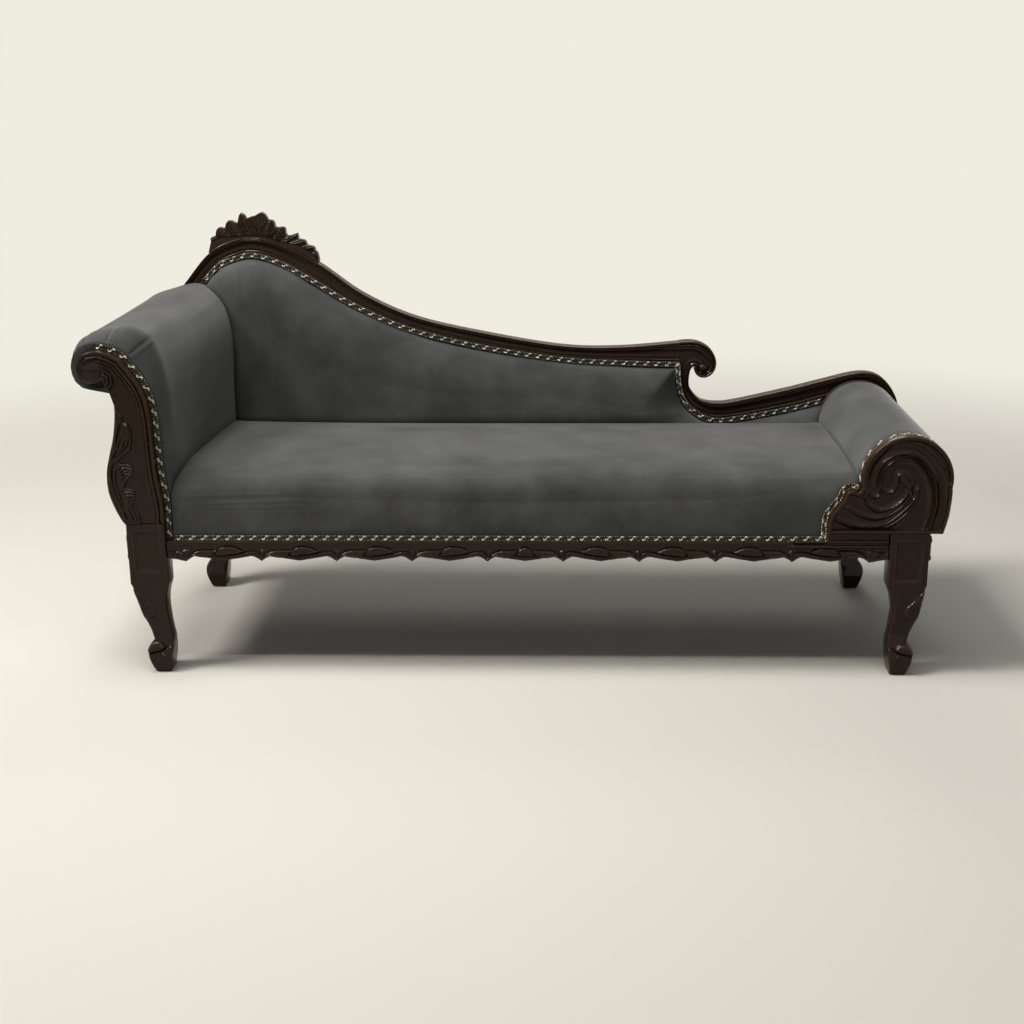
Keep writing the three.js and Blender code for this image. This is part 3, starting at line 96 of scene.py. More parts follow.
def lacquered_hardwood(name, grain):
    """Espresso stain under semi-gloss lacquer: near black brown with faint grain and crisp glints,
    a little paler on edges, partly where the stain has thinned with use and partly a painted highlight
    where edges catch the light."""
    made, tree, shader = new_material(name, IOR=1.5, Coat_Weight=0.34, Coat_Roughness=0.09)
    shader.inputs["Specular IOR Level"].default_value = 0.05
    place = node(tree, "TexCoord").outputs["Object"]
    along = node(tree, "Mapping", {"Vector": place, "Scale": grain}).outputs[0]
    streak = node(tree, "TexNoise", {"Vector": along, "Scale": 9.0, "Detail": 6.0, "Roughness": 0.6})
    stain = {"Factor": streak.outputs["Fac"], 6: colour("#130A02"), 7: colour("#2A1806")}
    stain = node(tree, "Mix", stain, data_type="RGBA")
    # Painted highlight, partly wear: sharp edges (high pointiness) are mixed towards a paler brown, as if
    # the stain had thinned with use and the edges caught the light.
    edge = node(tree, "NewGeometry").outputs["Pointiness"]
    edge_wear_and_highlight = node(tree, "MapRange", {"Value": edge, "From Min": 0.51, "From Max": 0.6, "To Max": 0.5})
    stain_with_painted_edge_highlight = {"Factor": edge_wear_and_highlight.outputs[0], 6: stain.outputs[2], 7: colour("#4A3526")}
    stain_with_painted_edge_highlight = node(tree, "Mix", stain_with_painted_edge_highlight, data_type="RGBA")
    tree.links.new(stain_with_painted_edge_highlight.outputs[2], shader.inputs["Base Color"])
    haze = node(tree, "TexNoise", {"Vector": place, "Scale": 30.0, "Detail": 3.0})
    gloss = node(tree, "MapRange", {"Value": haze.outputs["Fac"], "To Min": 0.2, "To Max": 0.36})
    tree.links.new(gloss.outputs[0], shader.inputs["Roughness"])
    pores = node(tree, "TexNoise", {"Vector": along, "Scale": 60.0, "Detail": 4.0})
    relief = node(tree, "Bump", {"Height": pores.outputs["Fac"], "Strength": 0.1, "Distance": 0.0005})
    tree.links.new(relief.outputs[0], shader.inputs["Normal"])
    return made


espresso_upright = lacquered_hardwood("Espresso_lacquered_hardwood_upright", (8, 8, 1))
espresso_level = lacquered_hardwood("Espresso_lacquered_hardwood_level", (1, 8, 8))


def spline(rows, per_span):
    """Smooth line through rows of coordinates, with a set number of steps between each pair."""
    p = np.array(rows, float)
    spans = len(p) - 1
    p = np.vstack([p[:1], p, p[-1:]])
    t = np.linspace(0, spans, spans * per_span + 1)
    i = np.minimum(t.astype(int), spans - 1)
    f = (t - i)[:, None]
    a, b, c, d = (p[i + k] for k in range(4))
    bend, twist = a - 2.5 * b + 2 * c - d / 2, 1.5 * (b - c) + (d - a) / 2
    return b + (c - a) * f / 2 + bend * f**2 + twist * f**3


def at_depth(line, depth):
    """A line of the front view as points at one depth, or at a depth for each."""
    return np.column_stack([line[:, 0], np.full(len(line), depth), line[:, 1]])


def leftward(ahead):
    """Unit vectors to the left of a row of directions."""
    return np.stack([-ahead[:, 1], ahead[:, 0]], 1) / np.maximum(np.hypot(*ahead.T), 1e-9)[:, None]


def piece(name, points, faces, finish, slot, *nodes, sharp=32):
    """A closed mesh from points in millimetres, shaded smooth between its hard edges."""
    body = bmesh.new()
    corners = [body.verts.new(p) for p in (np.asarray(points) * MM + origin).tolist()]
    for face in faces:
        body.faces.new([corners[i] for i in face])
    bmesh.ops.remove_doubles(body, verts=body.verts, dist=1e-6)
    bmesh.ops.recalc_face_normals(body, faces=body.faces)
    mesh = bpy.data.meshes.new(name)
    body.to_mesh(mesh)
    body.free()
    mesh.materials.append(finish)
    mesh.shade_smooth()
    mesh.set_sharp_from_angle(angle=math.radians(sharp))
    made = bpy.data.objects.new(name, mesh)
    bpy.context.collection.objects.link(made)
    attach(made, "root")
    if nodes:
        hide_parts(*nodes)
    return made


def spaced(line, step):
    """A line with points added along each straight stretch, its own corners kept."""
    out = []
    for a, b in zip(line[:-1], line[1:]):
        count = max(1, round(float(np.hypot(*(b - a))) / step))
        out += [a + (b - a) * k / count for k in range(count)]
    return np.array(out + [line[-1]])


def track(points, line):
    """For each point: distance to the line, the side of it (left is +), and the share along it."""
    line = np.asarray(line, float)
    a, run = line[:-1], np.diff(line, axis=0)
    size = np.maximum(np.hypot(*run.T), 1e-9)
    upto = np.concatenate([[0], np.cumsum(size)])
    found = []
    for some in np.array_split(points, max(1, len(points) // 3000)):
        rel = some[:, None] - a[None]
        t = np.clip((rel * run).sum(-1) / size**2, 0, 1)
        off = rel - t[..., None] * run
        gap = np.hypot(off[..., 0], off[..., 1])
        k = gap.argmin(1)
        pick = np.arange(len(some))
        cross = run[k, 0] * rel[pick, k, 1] - run[k, 1] * rel[pick, k, 0]
        found.append(np.stack([gap[pick, k], np.sign(cross), (upto[k] + t[pick, k] * size[k]) / upto[-1]]))
    return np.concatenate(found, axis=1)


def within(points, edge):
    """Which points lie inside a closed outline."""
    inside = np.zeros(len(points), bool)
    for (x0, z0), (x1, z1) in zip(edge, np.roll(edge, -1, axis=0)):
        if z0 != z1:
            crosses = (z0 > points[:, 1]) != (z1 > points[:, 1])
            inside ^= crosses & (points[:, 0] < x0 + (points[:, 1] - z0) * (x1 - x0) / (z1 - z0))
    return inside


def carved_board(name, edge, front, back, carve, finish, nodes, step=1.5, carve_back=None):
    """A board cut to an outline, its front face moved out by carve(points, distance to the edge)."""
    edge = np.asarray(edge, float)
    closed = np.vstack([edge, edge[:1]])
    ring = spaced(closed, step)[:-1]
    lo, hi = ring.min(0), ring.max(0)
    rows = np.arange(lo[1] + step / 2, hi[1], step * 0.866)
    grid = np.array([
        (x, z)
        for k, z in enumerate(rows)
        for x in np.arange(lo[0] + step * (0.25 + 0.5 * (k % 2)), hi[0], step)
    ])
    grid = grid[within(grid, edge)]
    grid = grid[track(grid, closed)[0] > step * 1.5]
    following = np.roll(ring, -1, axis=0)
    turned = np.sign(np.sum(ring[:, 0] * following[:, 1] - following[:, 0] * ring[:, 1]))
    inward = leftward(following - np.roll(ring, 1, axis=0)) * turned
    layers = [ring]
    for inset in (step * 0.35, step * 0.85):
        layer = ring + inward * inset
        layers.append(layer[(track(layer, closed)[0] > inset * 0.9) & within(layer, edge)])
    flat = np.vstack(layers + [grid])
    flat2d, _, faces, source, _, _ = delaunay_2d_cdt(
        [Vector(p) for p in flat.tolist()], [], [list(range(len(ring)))], 1, 1e-6
    )
    plan = np.array([tuple(p) for p in flat2d])
    where = {k: i for i, found in enumerate(source) for k in found}
    rim = [where[i] for i in range(len(ring))]
    gap = track(plan, closed)[0]
    proud = carve(plan, gap)
    top = at_depth(plan, front - proud)
    faces = [list(f) for f in faces]
    count = len(top)
    if carve_back is None:
        low = at_depth(plan[rim], float(back))
        base = [count + i for i in range(len(rim))]
        faces.append(base[::-1])
    else:
        low = at_depth(plan, back + carve_back(plan, gap))
        base = [count + i for i in rim]
        faces += [[count + i for i in f[::-1]] for f in faces]
    for i in range(len(rim)):
        j = (i + 1) % len(rim)
        faces.append([rim[i], rim[j], base[j], base[i]])
    return piece(name, np.vstack([top, low]), faces, finish, "espresso_wood", *nodes)


def rounded(gap, radius):
    """Drop of a rounded edge, at a distance from it."""
    near = np.clip(gap / radius, 0, 1)
    return radius * (np.sqrt(1 - (1 - near) ** 2) - 1)


def bead(points, line, width, height, ends=0.0):
    """Half-round bead along a line, fading over a share of its length at each end."""
    gap, _, share = track(points, line)
    fade = np.clip(np.minimum(share, 1 - share) / max(ends, 1e-6), 0, 1) ** 0.5 if ends else 1
    return height * fade * np.sqrt(np.clip(1 - (2 * gap / width) ** 2, 0, 1))


def gouged(points, line, width, depth, ends=0.12):
    """Depth of a V-shaped gouge cut along a line, running out at its ends."""
    gap, _, share = track(points, line)
    run = np.clip(np.minimum(share, 1 - share) / ends, 0.02, 1) ** 0.5
    return depth * run * np.clip(1 - 2 * gap / width, 0, 1)


def raised(points, outline, height, radius):
    """Rise of a form with a rounded edge inside a closed outline."""
    outline = spline(np.vstack([outline, outline[:1]]), 5)
    near = np.clip(track(points, outline)[0] / radius, 0, 1)
    return np.where(within(points, outline[:-1]), height * np.sqrt(1 - (1 - near) ** 2), 0)


LEG_INNER = [[8.2, 0], [1.6, 50], [0, 72.8], [4.1, 104], [8.2, 140], [7, 172], [0, 200]]
LEG_OUTER = [[82, 200], [77.9, 188], [68.9, 156], [61.1, 127.2], [50, 99], [41.8, 72.8]]
LEG_TOE = [[41.8, 72.8], [54.1, 54], [51.7, 28], [40.2, 0]]
KNEE = 200.0  # underside of the block
FOOT_HEIGHT = 316.0
PANEL_MARGIN = 15.0
FOOT_SPLAY, SPLAY_RUN = 7.0, 60.0
KNEE_LEAF = [
    [76, 190], [83, 184], [76, 160], [69, 138], [60, 121], [46, 122.5], [36.5, 127.5], [31.8, 137],
    [35, 149], [44.5, 158.5], [53, 166.5], [62, 176],
]
KNEE_CUTS = [
    [[70, 180], [60.6, 165], [54.5, 150], [45, 135.5], [38, 130]],
    [[64, 177], [55, 164.5], [47, 153.5], [37.5, 141]], [[72.5, 171], [64, 154], [56, 137], [49, 127]],
]
BEAD_CUT = [
    [1, 196], [11, 184], [14.5, 167], [15.2, 146], [12, 119], [7.5, 91], [7.2, 66], [10, 54], [15, 47],
    [21, 44],
]
TOE_KNOB = [
    [15, 57], [20, 64.5], [29, 70], [41, 71.5], [49, 67], [58, 57], [59, 46], [50, 47.5], [40, 48.5],
    [29, 50.5], [21, 54],
]
KNOB_CUT = [[10, 60], [15, 56], [21, 52.5], [29, 49], [40, 46.8], [56, 44]]
TOE_CURL = [[3.5, 60], [7, 51], [12, 44], [17.5, 40], [21.5, 41], [20.5, 45.5]]


def splayed(points, splay):
    """Leg points with everything below the block moved outwards."""
    points = np.asarray(points, float)
    share = np.clip((KNEE - points[:, 1]) / SPLAY_RUN, 0, 1)
    return np.stack([points[:, 0] + splay * share, points[:, 1]], 1)


def leg_carving(height, front):
    """Relief of a leg: the knee's swell and the toe's rise and, on a front leg, its carving."""
    panel_low = KNEE + PANEL_MARGIN + height - FOOT_HEIGHT - 3
    taller = height > FOOT_HEIGHT

    def carve(points, gap):
        x, z = points.T
        soft = np.interp(z, [0, 150, 196, 203], [5, 8, 7, 2.2])
        level = rounded(gap, soft)
        level = level + np.interp(z, [0, 12, 34, 46, 60, 90, 130, 175], [2, 6, 8, 6, -1, -7, -3, 0])
        if not front:
            return level
        base = level.copy()
        level = level - gouged(points, spline(BEAD_CUT, 6), 4.2, 2.4, 0.05)
        level = np.maximum(level, base + bead(points, spline(TOE_CURL, 6), 5.0, 3.2, 0.08))
        folded = raised(points, KNEE_LEAF, 4.6, 6.0)
        for line in KNEE_CUTS:
            folded = folded - gouged(points, spline(line, 6), 3.4, 2.0, 0.1)
        level = np.where(raised(points, KNEE_LEAF, 1, 1) > 0, base + folded, level)
        ball = raised(points, TOE_KNOB, 11.0, 13.0)
        level = np.where(ball > 0, np.maximum(level, base + ball), level)
        level = level - gouged(points, spline(KNOB_CUT, 6), 5.0, 3.4, 0.1)
        inset = np.minimum(
            np.minimum(x - PANEL_MARGIN, LEG_WIDTH - PANEL_MARGIN - x),
            np.minimum((z - panel_low) * 0.45, height - PANEL_MARGIN - 3 - z),
        )
        level -= np.interp(inset, [-1.2, 0, 1.6, 2.8], [0, 0.8, 3.0, 3.2])
        if taller:
            level += bead(points, [[7, 344], [7, 262]], 12, 2.4, 0.1)
        lip = np.exp(-(((inset + 1.6) / 1.1) ** 2)) * np.clip((z - panel_low + 5) / 2, 0, 1)
        return level + 1.1 * lip

    return carve


for end, side, height, splay in (("head", -1, 335.0, 0.0), ("foot", 1, FOOT_HEIGHT, FOOT_SPLAY)):
    lines = [splayed(spline(rows, 6), splay) for rows in (LEG_INNER, LEG_OUTER, LEG_TOE)]
    local = np.vstack([lines[0], [[0, height], [LEG_WIDTH, height]], lines[1], lines[2][1:]])
    for row, front in (("front", 0.0), ("rear", FRAME_DEPTH - LEG_THICKNESS)):
        shape = leg_carving(height, row == "front")
        plain = leg_carving(height, False)

        def unsplayed(points):
            upright = np.stack([points[:, 0] * side - LEG_FACE, points[:, 1]], 1)
            return splayed(upright, -splay)

        carved_board(
            f"Leg_{row}_{end}",
            np.stack([side * (LEG_FACE + local[:, 0]), local[:, 1]], 1),
            front,
            front + LEG_THICKNESS,
            lambda p, gap: shape(unsplayed(p), gap),
            espresso_upright,
            [f"{row}_{end}_leg"],
            carve_back=lambda p, gap: plain(unsplayed(p), gap),
        )

# ---------------------------------------------------------------------------------------------
# Seat frame. Two long rails, two side rails, three cross rails and glued corner blocks of sawn
# poplar, doweled and screwed, with the boards and slats that shape the head arm and the roll.
# The upholstery hides them from every side but below.


def sawn_poplar(name):
    """Pale sawn wood: matt, with grain streaks 2-4 mm apart and the ripple of the saw."""
    made, tree, shader = new_material(name, Roughness=0.78)
    place = node(tree, "TexCoord").outputs["Object"]
    along = node(tree, "Mapping", {"Vector": place, "Scale": (1, 14, 14)}).outputs[0]
    grain = node(tree, "TexNoise", {"Vector": along, "Scale": 14.0, "Detail": 5.0, "Distortion": 0.6})
    wood = {"Factor": grain.outputs["Fac"], 6: colour("#7B5C3C"), 7: colour("#B08B60")}
    wood = node(tree, "Mix", wood, data_type="RGBA")
    tree.links.new(wood.outputs[2], shader.inputs["Base Color"])
    saw = node(tree, "TexWave", {"Vector": place, "Scale": 90.0, "Distortion": 1.5, "Detail": 2.0})
    relief = node(tree, "Bump", {"Height": saw.outputs["Fac"], "Strength": 0.25, "Distance": 0.0004})
    tree.links.new(relief.outputs[0], shader.inputs["Normal"])
    return made


SAWN = ("seat_rail", "side_rail", "cross_rail", "corner_block", "_board", "_slat", "back_stile")
poplar = sawn_poplar("Sawn_poplar_frame")
for name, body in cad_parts.items():
    if any(word in name for word in SAWN):
        body.data.materials.clear()
        body.data.materials.append(poplar)

# ---------------------------------------------------------------------------------------------
# Webbing and dust cover. Jute straps woven over and under each other and tacked to the rails carry
# the seat; black cambric is stapled under the frame to keep dust in.

WEB_LEVEL = 314.5
STRAP_WIDTH, STRAP_THICKNESS = 50.0, 1.2
NEAR_RAIL, FAR_RAIL = 50.3, 559.7  # ends of the side rails, between the legs


def woven_jute(name):
    """Coarse jute: dull straw brown with a plain weave about 2 mm across."""
    made, tree, shader = new_material(name, Roughness=0.95)
    place = node(tree, "TexCoord").outputs["Object"]
    yarn = {"Vector": place, "Scale": 80.0, "Distortion": 0.6}
    warp, weft = (node(tree, "TexWave", yarn, bands_direction=way).outputs["Fac"] for way in "XY")
    weave = node(tree, "Math", {0: warp, 1: weft}, operation="MULTIPLY")
    tint = {"Factor": weave.outputs[0], 6: colour("#6C5A3C"), 7: colour("#A28C64")}
    tint = node(tree, "Mix", tint, data_type="RGBA")
    tree.links.new(tint.outputs[2], shader.inputs["Base Color"])
    relief = node(tree, "Bump", {"Height": weave.outputs[0], "Strength": 0.5, "Distance": 0.0008})
    tree.links.new(relief.outputs[0], shader.inputs["Normal"])
    return made


def loft(rings):
    """Points and faces of a closed body through rings of points, its two ends closed flat."""
    n, m = rings.shape[:2]
    faces = [
        [i * m + j, i * m + (j + 1) % m, (i + 1) * m + (j + 1) % m, (i + 1) * m + j]
        for i in range(n - 1)
        for j in range(m)
    ]
    faces += [list(range(m))[::-1], [(n - 1) * m + j for j in range(m)]]
    return rings.reshape(-1, 3), faces


def strap(line, across):
    """A flat strap along a 3-D line, across being its half width as a vector."""
    across = np.array(across)
    up = np.array([0, 0, STRAP_THICKNESS / 2])
    corner, low = across * 0.98, up * 0.4
    section = [line - across - low, line - corner + up, line + corner + up, line + across - low, line - up]
    return loft(np.stack(section, 1))


def joined(parts):
    """Several meshes as one list of points and one of faces."""
    points, faces, start = [], [], 0
    for p, f in parts:
        points.append(p)
        faces += [[start + i for i in face] for face in f]
        start += len(p)
    return np.vstack(points), faces


def woven_over(run, crossings, first):
    """Lift of a strap that goes over and under the ones that it crosses."""
    return sum(0.75 * first * (-1) ** i * np.exp(-(((run - c) / 34) ** 4)) for i, c in enumerate(crossings))


lengthwise = [NEAR_RAIL + (i + 0.5) / 3 * (FAR_RAIL - NEAR_RAIL) for i in range(3)]
crosswise = [-716 + i * 1432 / 7 for i in range(8)]
straps = []
for i, y in enumerate(lengthwise):
    x = np.linspace(-818, 818, 300)
    lift = woven_over(x, crosswise, (-1) ** i)
    straps.append(strap(np.stack([x, np.full_like(x, y), WEB_LEVEL + lift], 1), [0, STRAP_WIDTH / 2, 0]))
for i, x in enumerate(crosswise):
    y = np.linspace(32, 588, 120)
    lift = woven_over(y, lengthwise, -((-1) ** i))
    straps.append(strap(np.stack([np.full_like(y, x), y, WEB_LEVEL + lift], 1), [STRAP_WIDTH / 2, 0, 0]))
piece("Jute_webbing", *joined(straps), woven_jute("Woven_jute_webbing"), "jute_webbing", "seat_webbing")


def fibrous(name, dark, pale, scale, detail, strength, relief_mm, **surface):
    """Fine yarn or thread: two close tones and a relief broken up at the size of its fibres."""
    made, tree, shader = new_material(name, **surface)
    place = node(tree, "TexCoord").outputs["Object"]
    fibre = node(tree, "TexNoise", {"Vector": place, "Scale": scale, "Detail": detail}).outputs["Fac"]
    tint = node(tree, "Mix", {"Factor": fibre, 6: colour(dark), 7: colour(pale)}, data_type="RGBA")
    tree.links.new(tint.outputs[2], shader.inputs["Base Color"])
    relief = node(tree, "Bump", {"Height": fibre, "Strength": strength, "Distance": relief_mm * MM})
    tree.links.new(relief.outputs[0], shader.inputs["Normal"])
    return made


# Black cambric: a matt lining cloth with a fine even weave.
cambric = fibrous("Black_cambric", "#121213", "#232325", 700.0, 2.0, 0.3, 0.4, Roughness=0.92)

COVER_LEVEL = 255.7
narrow, wide = 765.7, 838.0
xs = np.unique(np.concatenate([np.linspace(-narrow, narrow, 90), [-wide, -802, 802, wide]]))
ys = np.unique(np.concatenate([np.linspace(NEAR_RAIL, FAR_RAIL, 40), [30.3, 609.7]]))
grid = np.array([(x, y) for x in xs for y in ys])
sag = 2.5 * np.clip(1 - (np.abs(grid[:, 0]) / 790) ** 4, 0, 1)
sag *= np.clip(1 - ((grid[:, 1] - 305) / 270) ** 2, 0, 1)
top = np.column_stack([grid, COVER_LEVEL - sag])
low = top - [0, 0, 0.8]
cells = [
    [i * len(ys) + j, (i + 1) * len(ys) + j, (i + 1) * len(ys) + j + 1, i * len(ys) + j + 1]
    for i in range(len(xs) - 1)
    for j in range(len(ys) - 1)
    if abs(xs[i] + xs[i + 1]) / 2 < narrow or 50 < (ys[j] + ys[j + 1]) / 2 < 560
]
edges = {}
for cell in cells:
    for a, b in zip(cell, cell[1:] + cell[:1]):
        edges[(a, b)] = edges.get((b, a)) is None
open_edges = [(a, b) for (a, b) in edges if (b, a) not in edges]
count = len(top)
faces = cells + [[count + i for i in cell[::-1]] for cell in cells]
faces += [[b, a, count + a, count + b] for a, b in open_edges]
used = sorted({i for face in faces for i in face})
renumber = {old: new for new, old in enumerate(used)}
dust = piece(
    "Dust_cover", np.vstack([top, low])[used], [[renumber[i] for i in face] for face in faces],
    cambric, "dust_lining", "dust_cover",
)

# ---------------------------------------------------------------------------------------------
# Aprons. The front apron is one long hardwood board screwed to the front rail, its lower edge cut in
# shallow scallops with a folded leaf carved over each, and plain mouldings under the roll. The side
# aprons are thin moulded boards over the side rails.

APRON_TOP, APRON_TIP = 296.0, 251.0
VOLUTE_LEFT = 634.67
SCALLOP = [
    [0.06, 0.55], [0.12, 0.95], [0.3, 0.5], [0.5, 0.08], [0.7, 0.5], [0.88, 0.95], [0.94, 0.55],
]
SCALLOP_DEPTH = 12.0
APRON_END = 41.0
apron_left, apron_right = -765.7, 765.7
repeats = round((apron_right - apron_left - 2 * APRON_END) / 160)
pitch = (apron_right - apron_left - 2 * APRON_END) / repeats
starts = [apron_left + APRON_END + i * pitch for i in range(repeats)]
lower = [[apron_left, APRON_TIP + SCALLOP_DEPTH / 2]]
for x in starts:
    lower.append([x, APRON_TIP])
    lower += [[x + u * pitch, APRON_TIP + w * SCALLOP_DEPTH] for u, w in SCALLOP]
lower += [[apron_right - APRON_END, APRON_TIP], [apron_right, APRON_TIP + SCALLOP_DEPTH / 2]]
APRON_FORMS = [
    ([[6, 262], [10, 267], [17.4, 271.5], [28.4, 275], [44.6, 275.7], [66, 276.3], [62, 269.8], [58.3, 264],
      [40, 258], [24, 259]], 4.4),
    ([[58.3, 265.6], [66, 276.3], [73.6, 281], [84.5, 283.8], [95.2, 283.3], [105.8, 281], [114.5, 277.4],
      [123, 272], [105, 266], [86.8, 264], [68.8, 262.5]], 4.6),
    ([[-14, 252], [-20, 264], [-10, 273], [2, 276], [8, 270], [3, 262], [2, 250]], 3.6),
]
APRON_LIP = [
    [58, 262], [69, 260.5], [87, 261], [105, 263], [123, 266.5], [141, 270], [150, 269.5], [157, 265],
    [161, 258],
]
APRON_CUTS = [
    [[10, 267], [17.4, 271.5], [28.4, 275], [44.6, 275.7], [66, 276.3], [73.6, 281], [84.5, 283.8],
     [95.2, 283.3], [105.8, 281], [114.5, 277.4], [123, 272.6]],
    [[68, 276.3], [62.1, 269.8], [58.3, 265.6], [68.8, 263], [86.8, 264], [105, 266.2], [123, 269.7],
     [141, 273], [150, 272.5], [157, 268], [161, 261]],
    [[15.3, 267], [27.6, 262.8], [39.9, 260.2], [56, 258.5]],
    [[-38.8, 272.4], [-20, 271.5], [-7.7, 268.1], [-2.5, 264.9], [-0.9, 258]],
]
apron_edge = lower + [[apron_right, 316], [VOLUTE_LEFT, 316]]
apron_edge += [[VOLUTE_LEFT, APRON_TOP], [apron_left, APRON_TOP]]


def hump(value, middle, width):
    """Half-round rise about a value, 1 at its middle."""
    return np.sqrt(np.clip(1 - ((value - middle) / width) ** 2, 0, 1))


def apron_carving(points, gap):
    """Relief of the front apron: folded leaves, mirrored about the middle, and mouldings at the end."""
    x, z = points.T
    level = rounded(gap, 2.2)
    local = np.stack([np.mod(-np.abs(x) - starts[0], pitch), z], 1)
    outside = np.abs(x) > -starts[0]
    local[outside, 0] = (-np.abs(x) - starts[0])[outside]
    shape = np.zeros(len(x))
    for spot in (local, local + [pitch, 0]):
        for form, height in APRON_FORMS:
            shape = np.maximum(shape, raised(spot, form, height, 5.0))
        shape = np.maximum(shape, bead(spot, spline(APRON_LIP, 6), 5.0, 2.2))
    level = level - 2.6 * np.clip((gap - 2.5) / 3, 0, 1) * (z < 291) + shape
    for line in APRON_CUTS:
        level -= gouged(local, spline(line, 6), 3.4, 2.2, 0.08)
    level -= gouged(points, [[apron_left, 292.6], [VOLUTE_LEFT, 292.6]], 3.2, 2.2, 0.001)
    mould = np.where(x > VOLUTE_LEFT - 3, 1.0, np.clip((x - 555) / 12, 0, 1) * (z < 290))
    steps = 3.4 * np.maximum(np.maximum(hump(z, 286, 3.4), hump(z, 297.5, 3.6)), hump(z, 312.5, 3.4)) - 1
    return np.where(z > 281, level * (1 - mould) + (steps + rounded(gap, 2)) * mould, level)


carved_board("Apron_front", apron_edge, 8.0, 30.0, apron_carving, espresso_level, ["front_apron"])

SIDE_PROFILE = [
    [0, 257], [3, 257], [5.2, 259], [6, 262], [5.6, 265], [4, 267], [3.6, 270], [3.6, 292], [4, 296],
    [5.6, 298], [6, 301], [5.4, 304], [4, 306], [4.4, 309], [3, 311], [0, 311],
]
SIDE_FACE = 848.3  # outer face of the side rails
for end, side, proud in (("head", -1, 0.3), ("foot", 1, 0.8)):
    out, up = np.array(SIDE_PROFILE, float).T
    section = np.stack([side * (SIDE_FACE + out * proud), up], 1)
    rings = np.array([at_depth(section, y) for y in np.linspace(4, 606, 12)])
    piece(f"Apron_{end}_side", *loft(rings), espresso_level, "espresso_wood", f"{end}_side_apron")

# ---------------------------------------------------------------------------------------------
# Head arm post. A hardwood board at the front of the arm, band sawn to a swan neck that ends in a
# scroll, screwed to the front leg. Three beads follow its edge over the scroll and acanthus leaves
# are carved down its outer half.

# x and z of the arm's inner line, then the stuffing's share of its depth and how much of it is there
# at the front.
ARM_CONTOUR = [
    [-766, 335.3, 0.46, 0.45], [-766, 379.8, 0.47, 0.45], [-773.9, 439.1, 0.545, 0.45],
    [-777.1, 501.4, 0.575, 0.45], [-779, 564, 0.61, 0.45], [-784.1, 601.1, 0.7, 0.45],
    [-794.3, 629.3, 0.82, 0.48], [-806.4, 650.4, 0.93, 0.52], [-823.4, 673.7, 0.97, 0.58],
    [-839.6, 691.9, 0.83, 0.7], [-873.8, 706, 0.43, 0.92], [-898, 704.1, 0.33, 0.96],
    [-915.1, 696, 0.26, 0.97], [-925, 671.5, 0.157, 1], [-920.2, 648.5, 0.15, 1], [-906.1, 638.5, 0.16, 1],
    [-886.8, 640, 0.13, 1], [-873.8, 645.6, 0.1, 1],
]
POST_OUTER = [
    [-873.8, 645.6], [-864.7, 628.2], [-856.8, 605.2], [-851.7, 578.1], [-858.7, 525.8], [-869.7, 486.5],
    [-877.9, 451.1], [-878.9, 413.9], [-871.9, 381.6], [-861.7, 355.3], [-849.6, 335.3],
]
scroll_eye = np.array([-894.2, 663.5])
post_inner = spline([row[:2] for row in ARM_CONTOUR], 6)
post_outer = spline(POST_OUTER, 6)
post_edge = np.vstack([post_inner, post_outer[1:]])
POST_MASS = [
    [-851.7, 594.3], [-846.6, 586.6], [-841, 578.9], [-835.5, 570.7], [-834.3, 557.6], [-830.5, 555.5],
    [-825.5, 552.5], [-821, 543], [-820.1, 532.3], [-820.3, 518.7], [-822, 506.9], [-825.3, 496.7],
    [-834.5, 489.3], [-844.8, 481.4], [-852, 472.5], [-844.1, 467.5], [-835.4, 467.5], [-827.9, 465],
    [-822.5, 459], [-820.7, 450.9], [-823.8, 443], [-829.9, 437.5], [-836.2, 431], [-841.7, 423],
    [-844, 416.5], [-839.6, 415.2], [-832, 414], [-825, 411.8], [-822.2, 404.3], [-821.9, 394.3],
    [-823.4, 387.3], [-829, 380.3], [-826.5, 374], [-822.1, 367.9], [-816.9, 359.3], [-814.3, 348.2],
    [-815, 336.1], [-830, 333], [-852, 334], [-870, 372], [-882, 402], [-884, 440], [-880, 472],
    [-868, 512], [-860, 545],
]
POST_CUTS = [
    [[-825, 526], [-831.2, 506.9], [-841.9, 493.2], [-853, 481.4]],
    [[-833.1, 522], [-841.2, 501.1], [-849.5, 489.3], [-858.5, 476.5]],
    [[-841.4, 528], [-848, 506.9], [-856, 490.3], [-865, 478]],
    [[-838, 560], [-846, 540], [-852, 518], [-861, 497]],
    [[-854, 452.9], [-847, 459.6], [-835.8, 461.6], [-825, 457]],
    [[-850.5, 446.3], [-844.2, 453.2], [-835.3, 455.4], [-824.5, 450.9]],
    [[-848.6, 439], [-842.2, 446.6], [-834.9, 448.9], [-824.8, 446]],
    [[-847.8, 430.1], [-841.5, 439.4], [-834, 443.2]], [[-843, 407.9], [-834.2, 409.4], [-824.2, 405]],
    [[-841.6, 400.3], [-832.9, 402.5], [-822.6, 400]], [[-839.4, 391.3], [-831.5, 395.5], [-822.6, 394.4]],
    [[-837.5, 383.3], [-831.1, 388.5], [-823.6, 389]],
    [[-834.9, 377.3], [-827.2, 364.3], [-822.1, 350.2], [-820.2, 335.1]],
    [[-841, 373], [-833.5, 358.3], [-828.8, 344.2], [-826.8, 333.1]],
    [[-862, 474], [-867, 449.9], [-867.5, 428.1], [-862.7, 404.2], [-855, 380.3], [-847.1, 358.2],
     [-837.3, 335]],
    [[-855.2, 462], [-860.1, 440], [-858.5, 420.2], [-852.7, 396.3], [-849.5, 376.3], [-844.5, 354.2],
     [-831.6, 333]],
    [[-869, 482], [-873.5, 459.8], [-874.7, 434.1], [-872.1, 408.2], [-866.3, 384.3], [-858.4, 362.2],
     [-847.4, 341]],
]
BERRY = np.array([-828.6, 549.5])


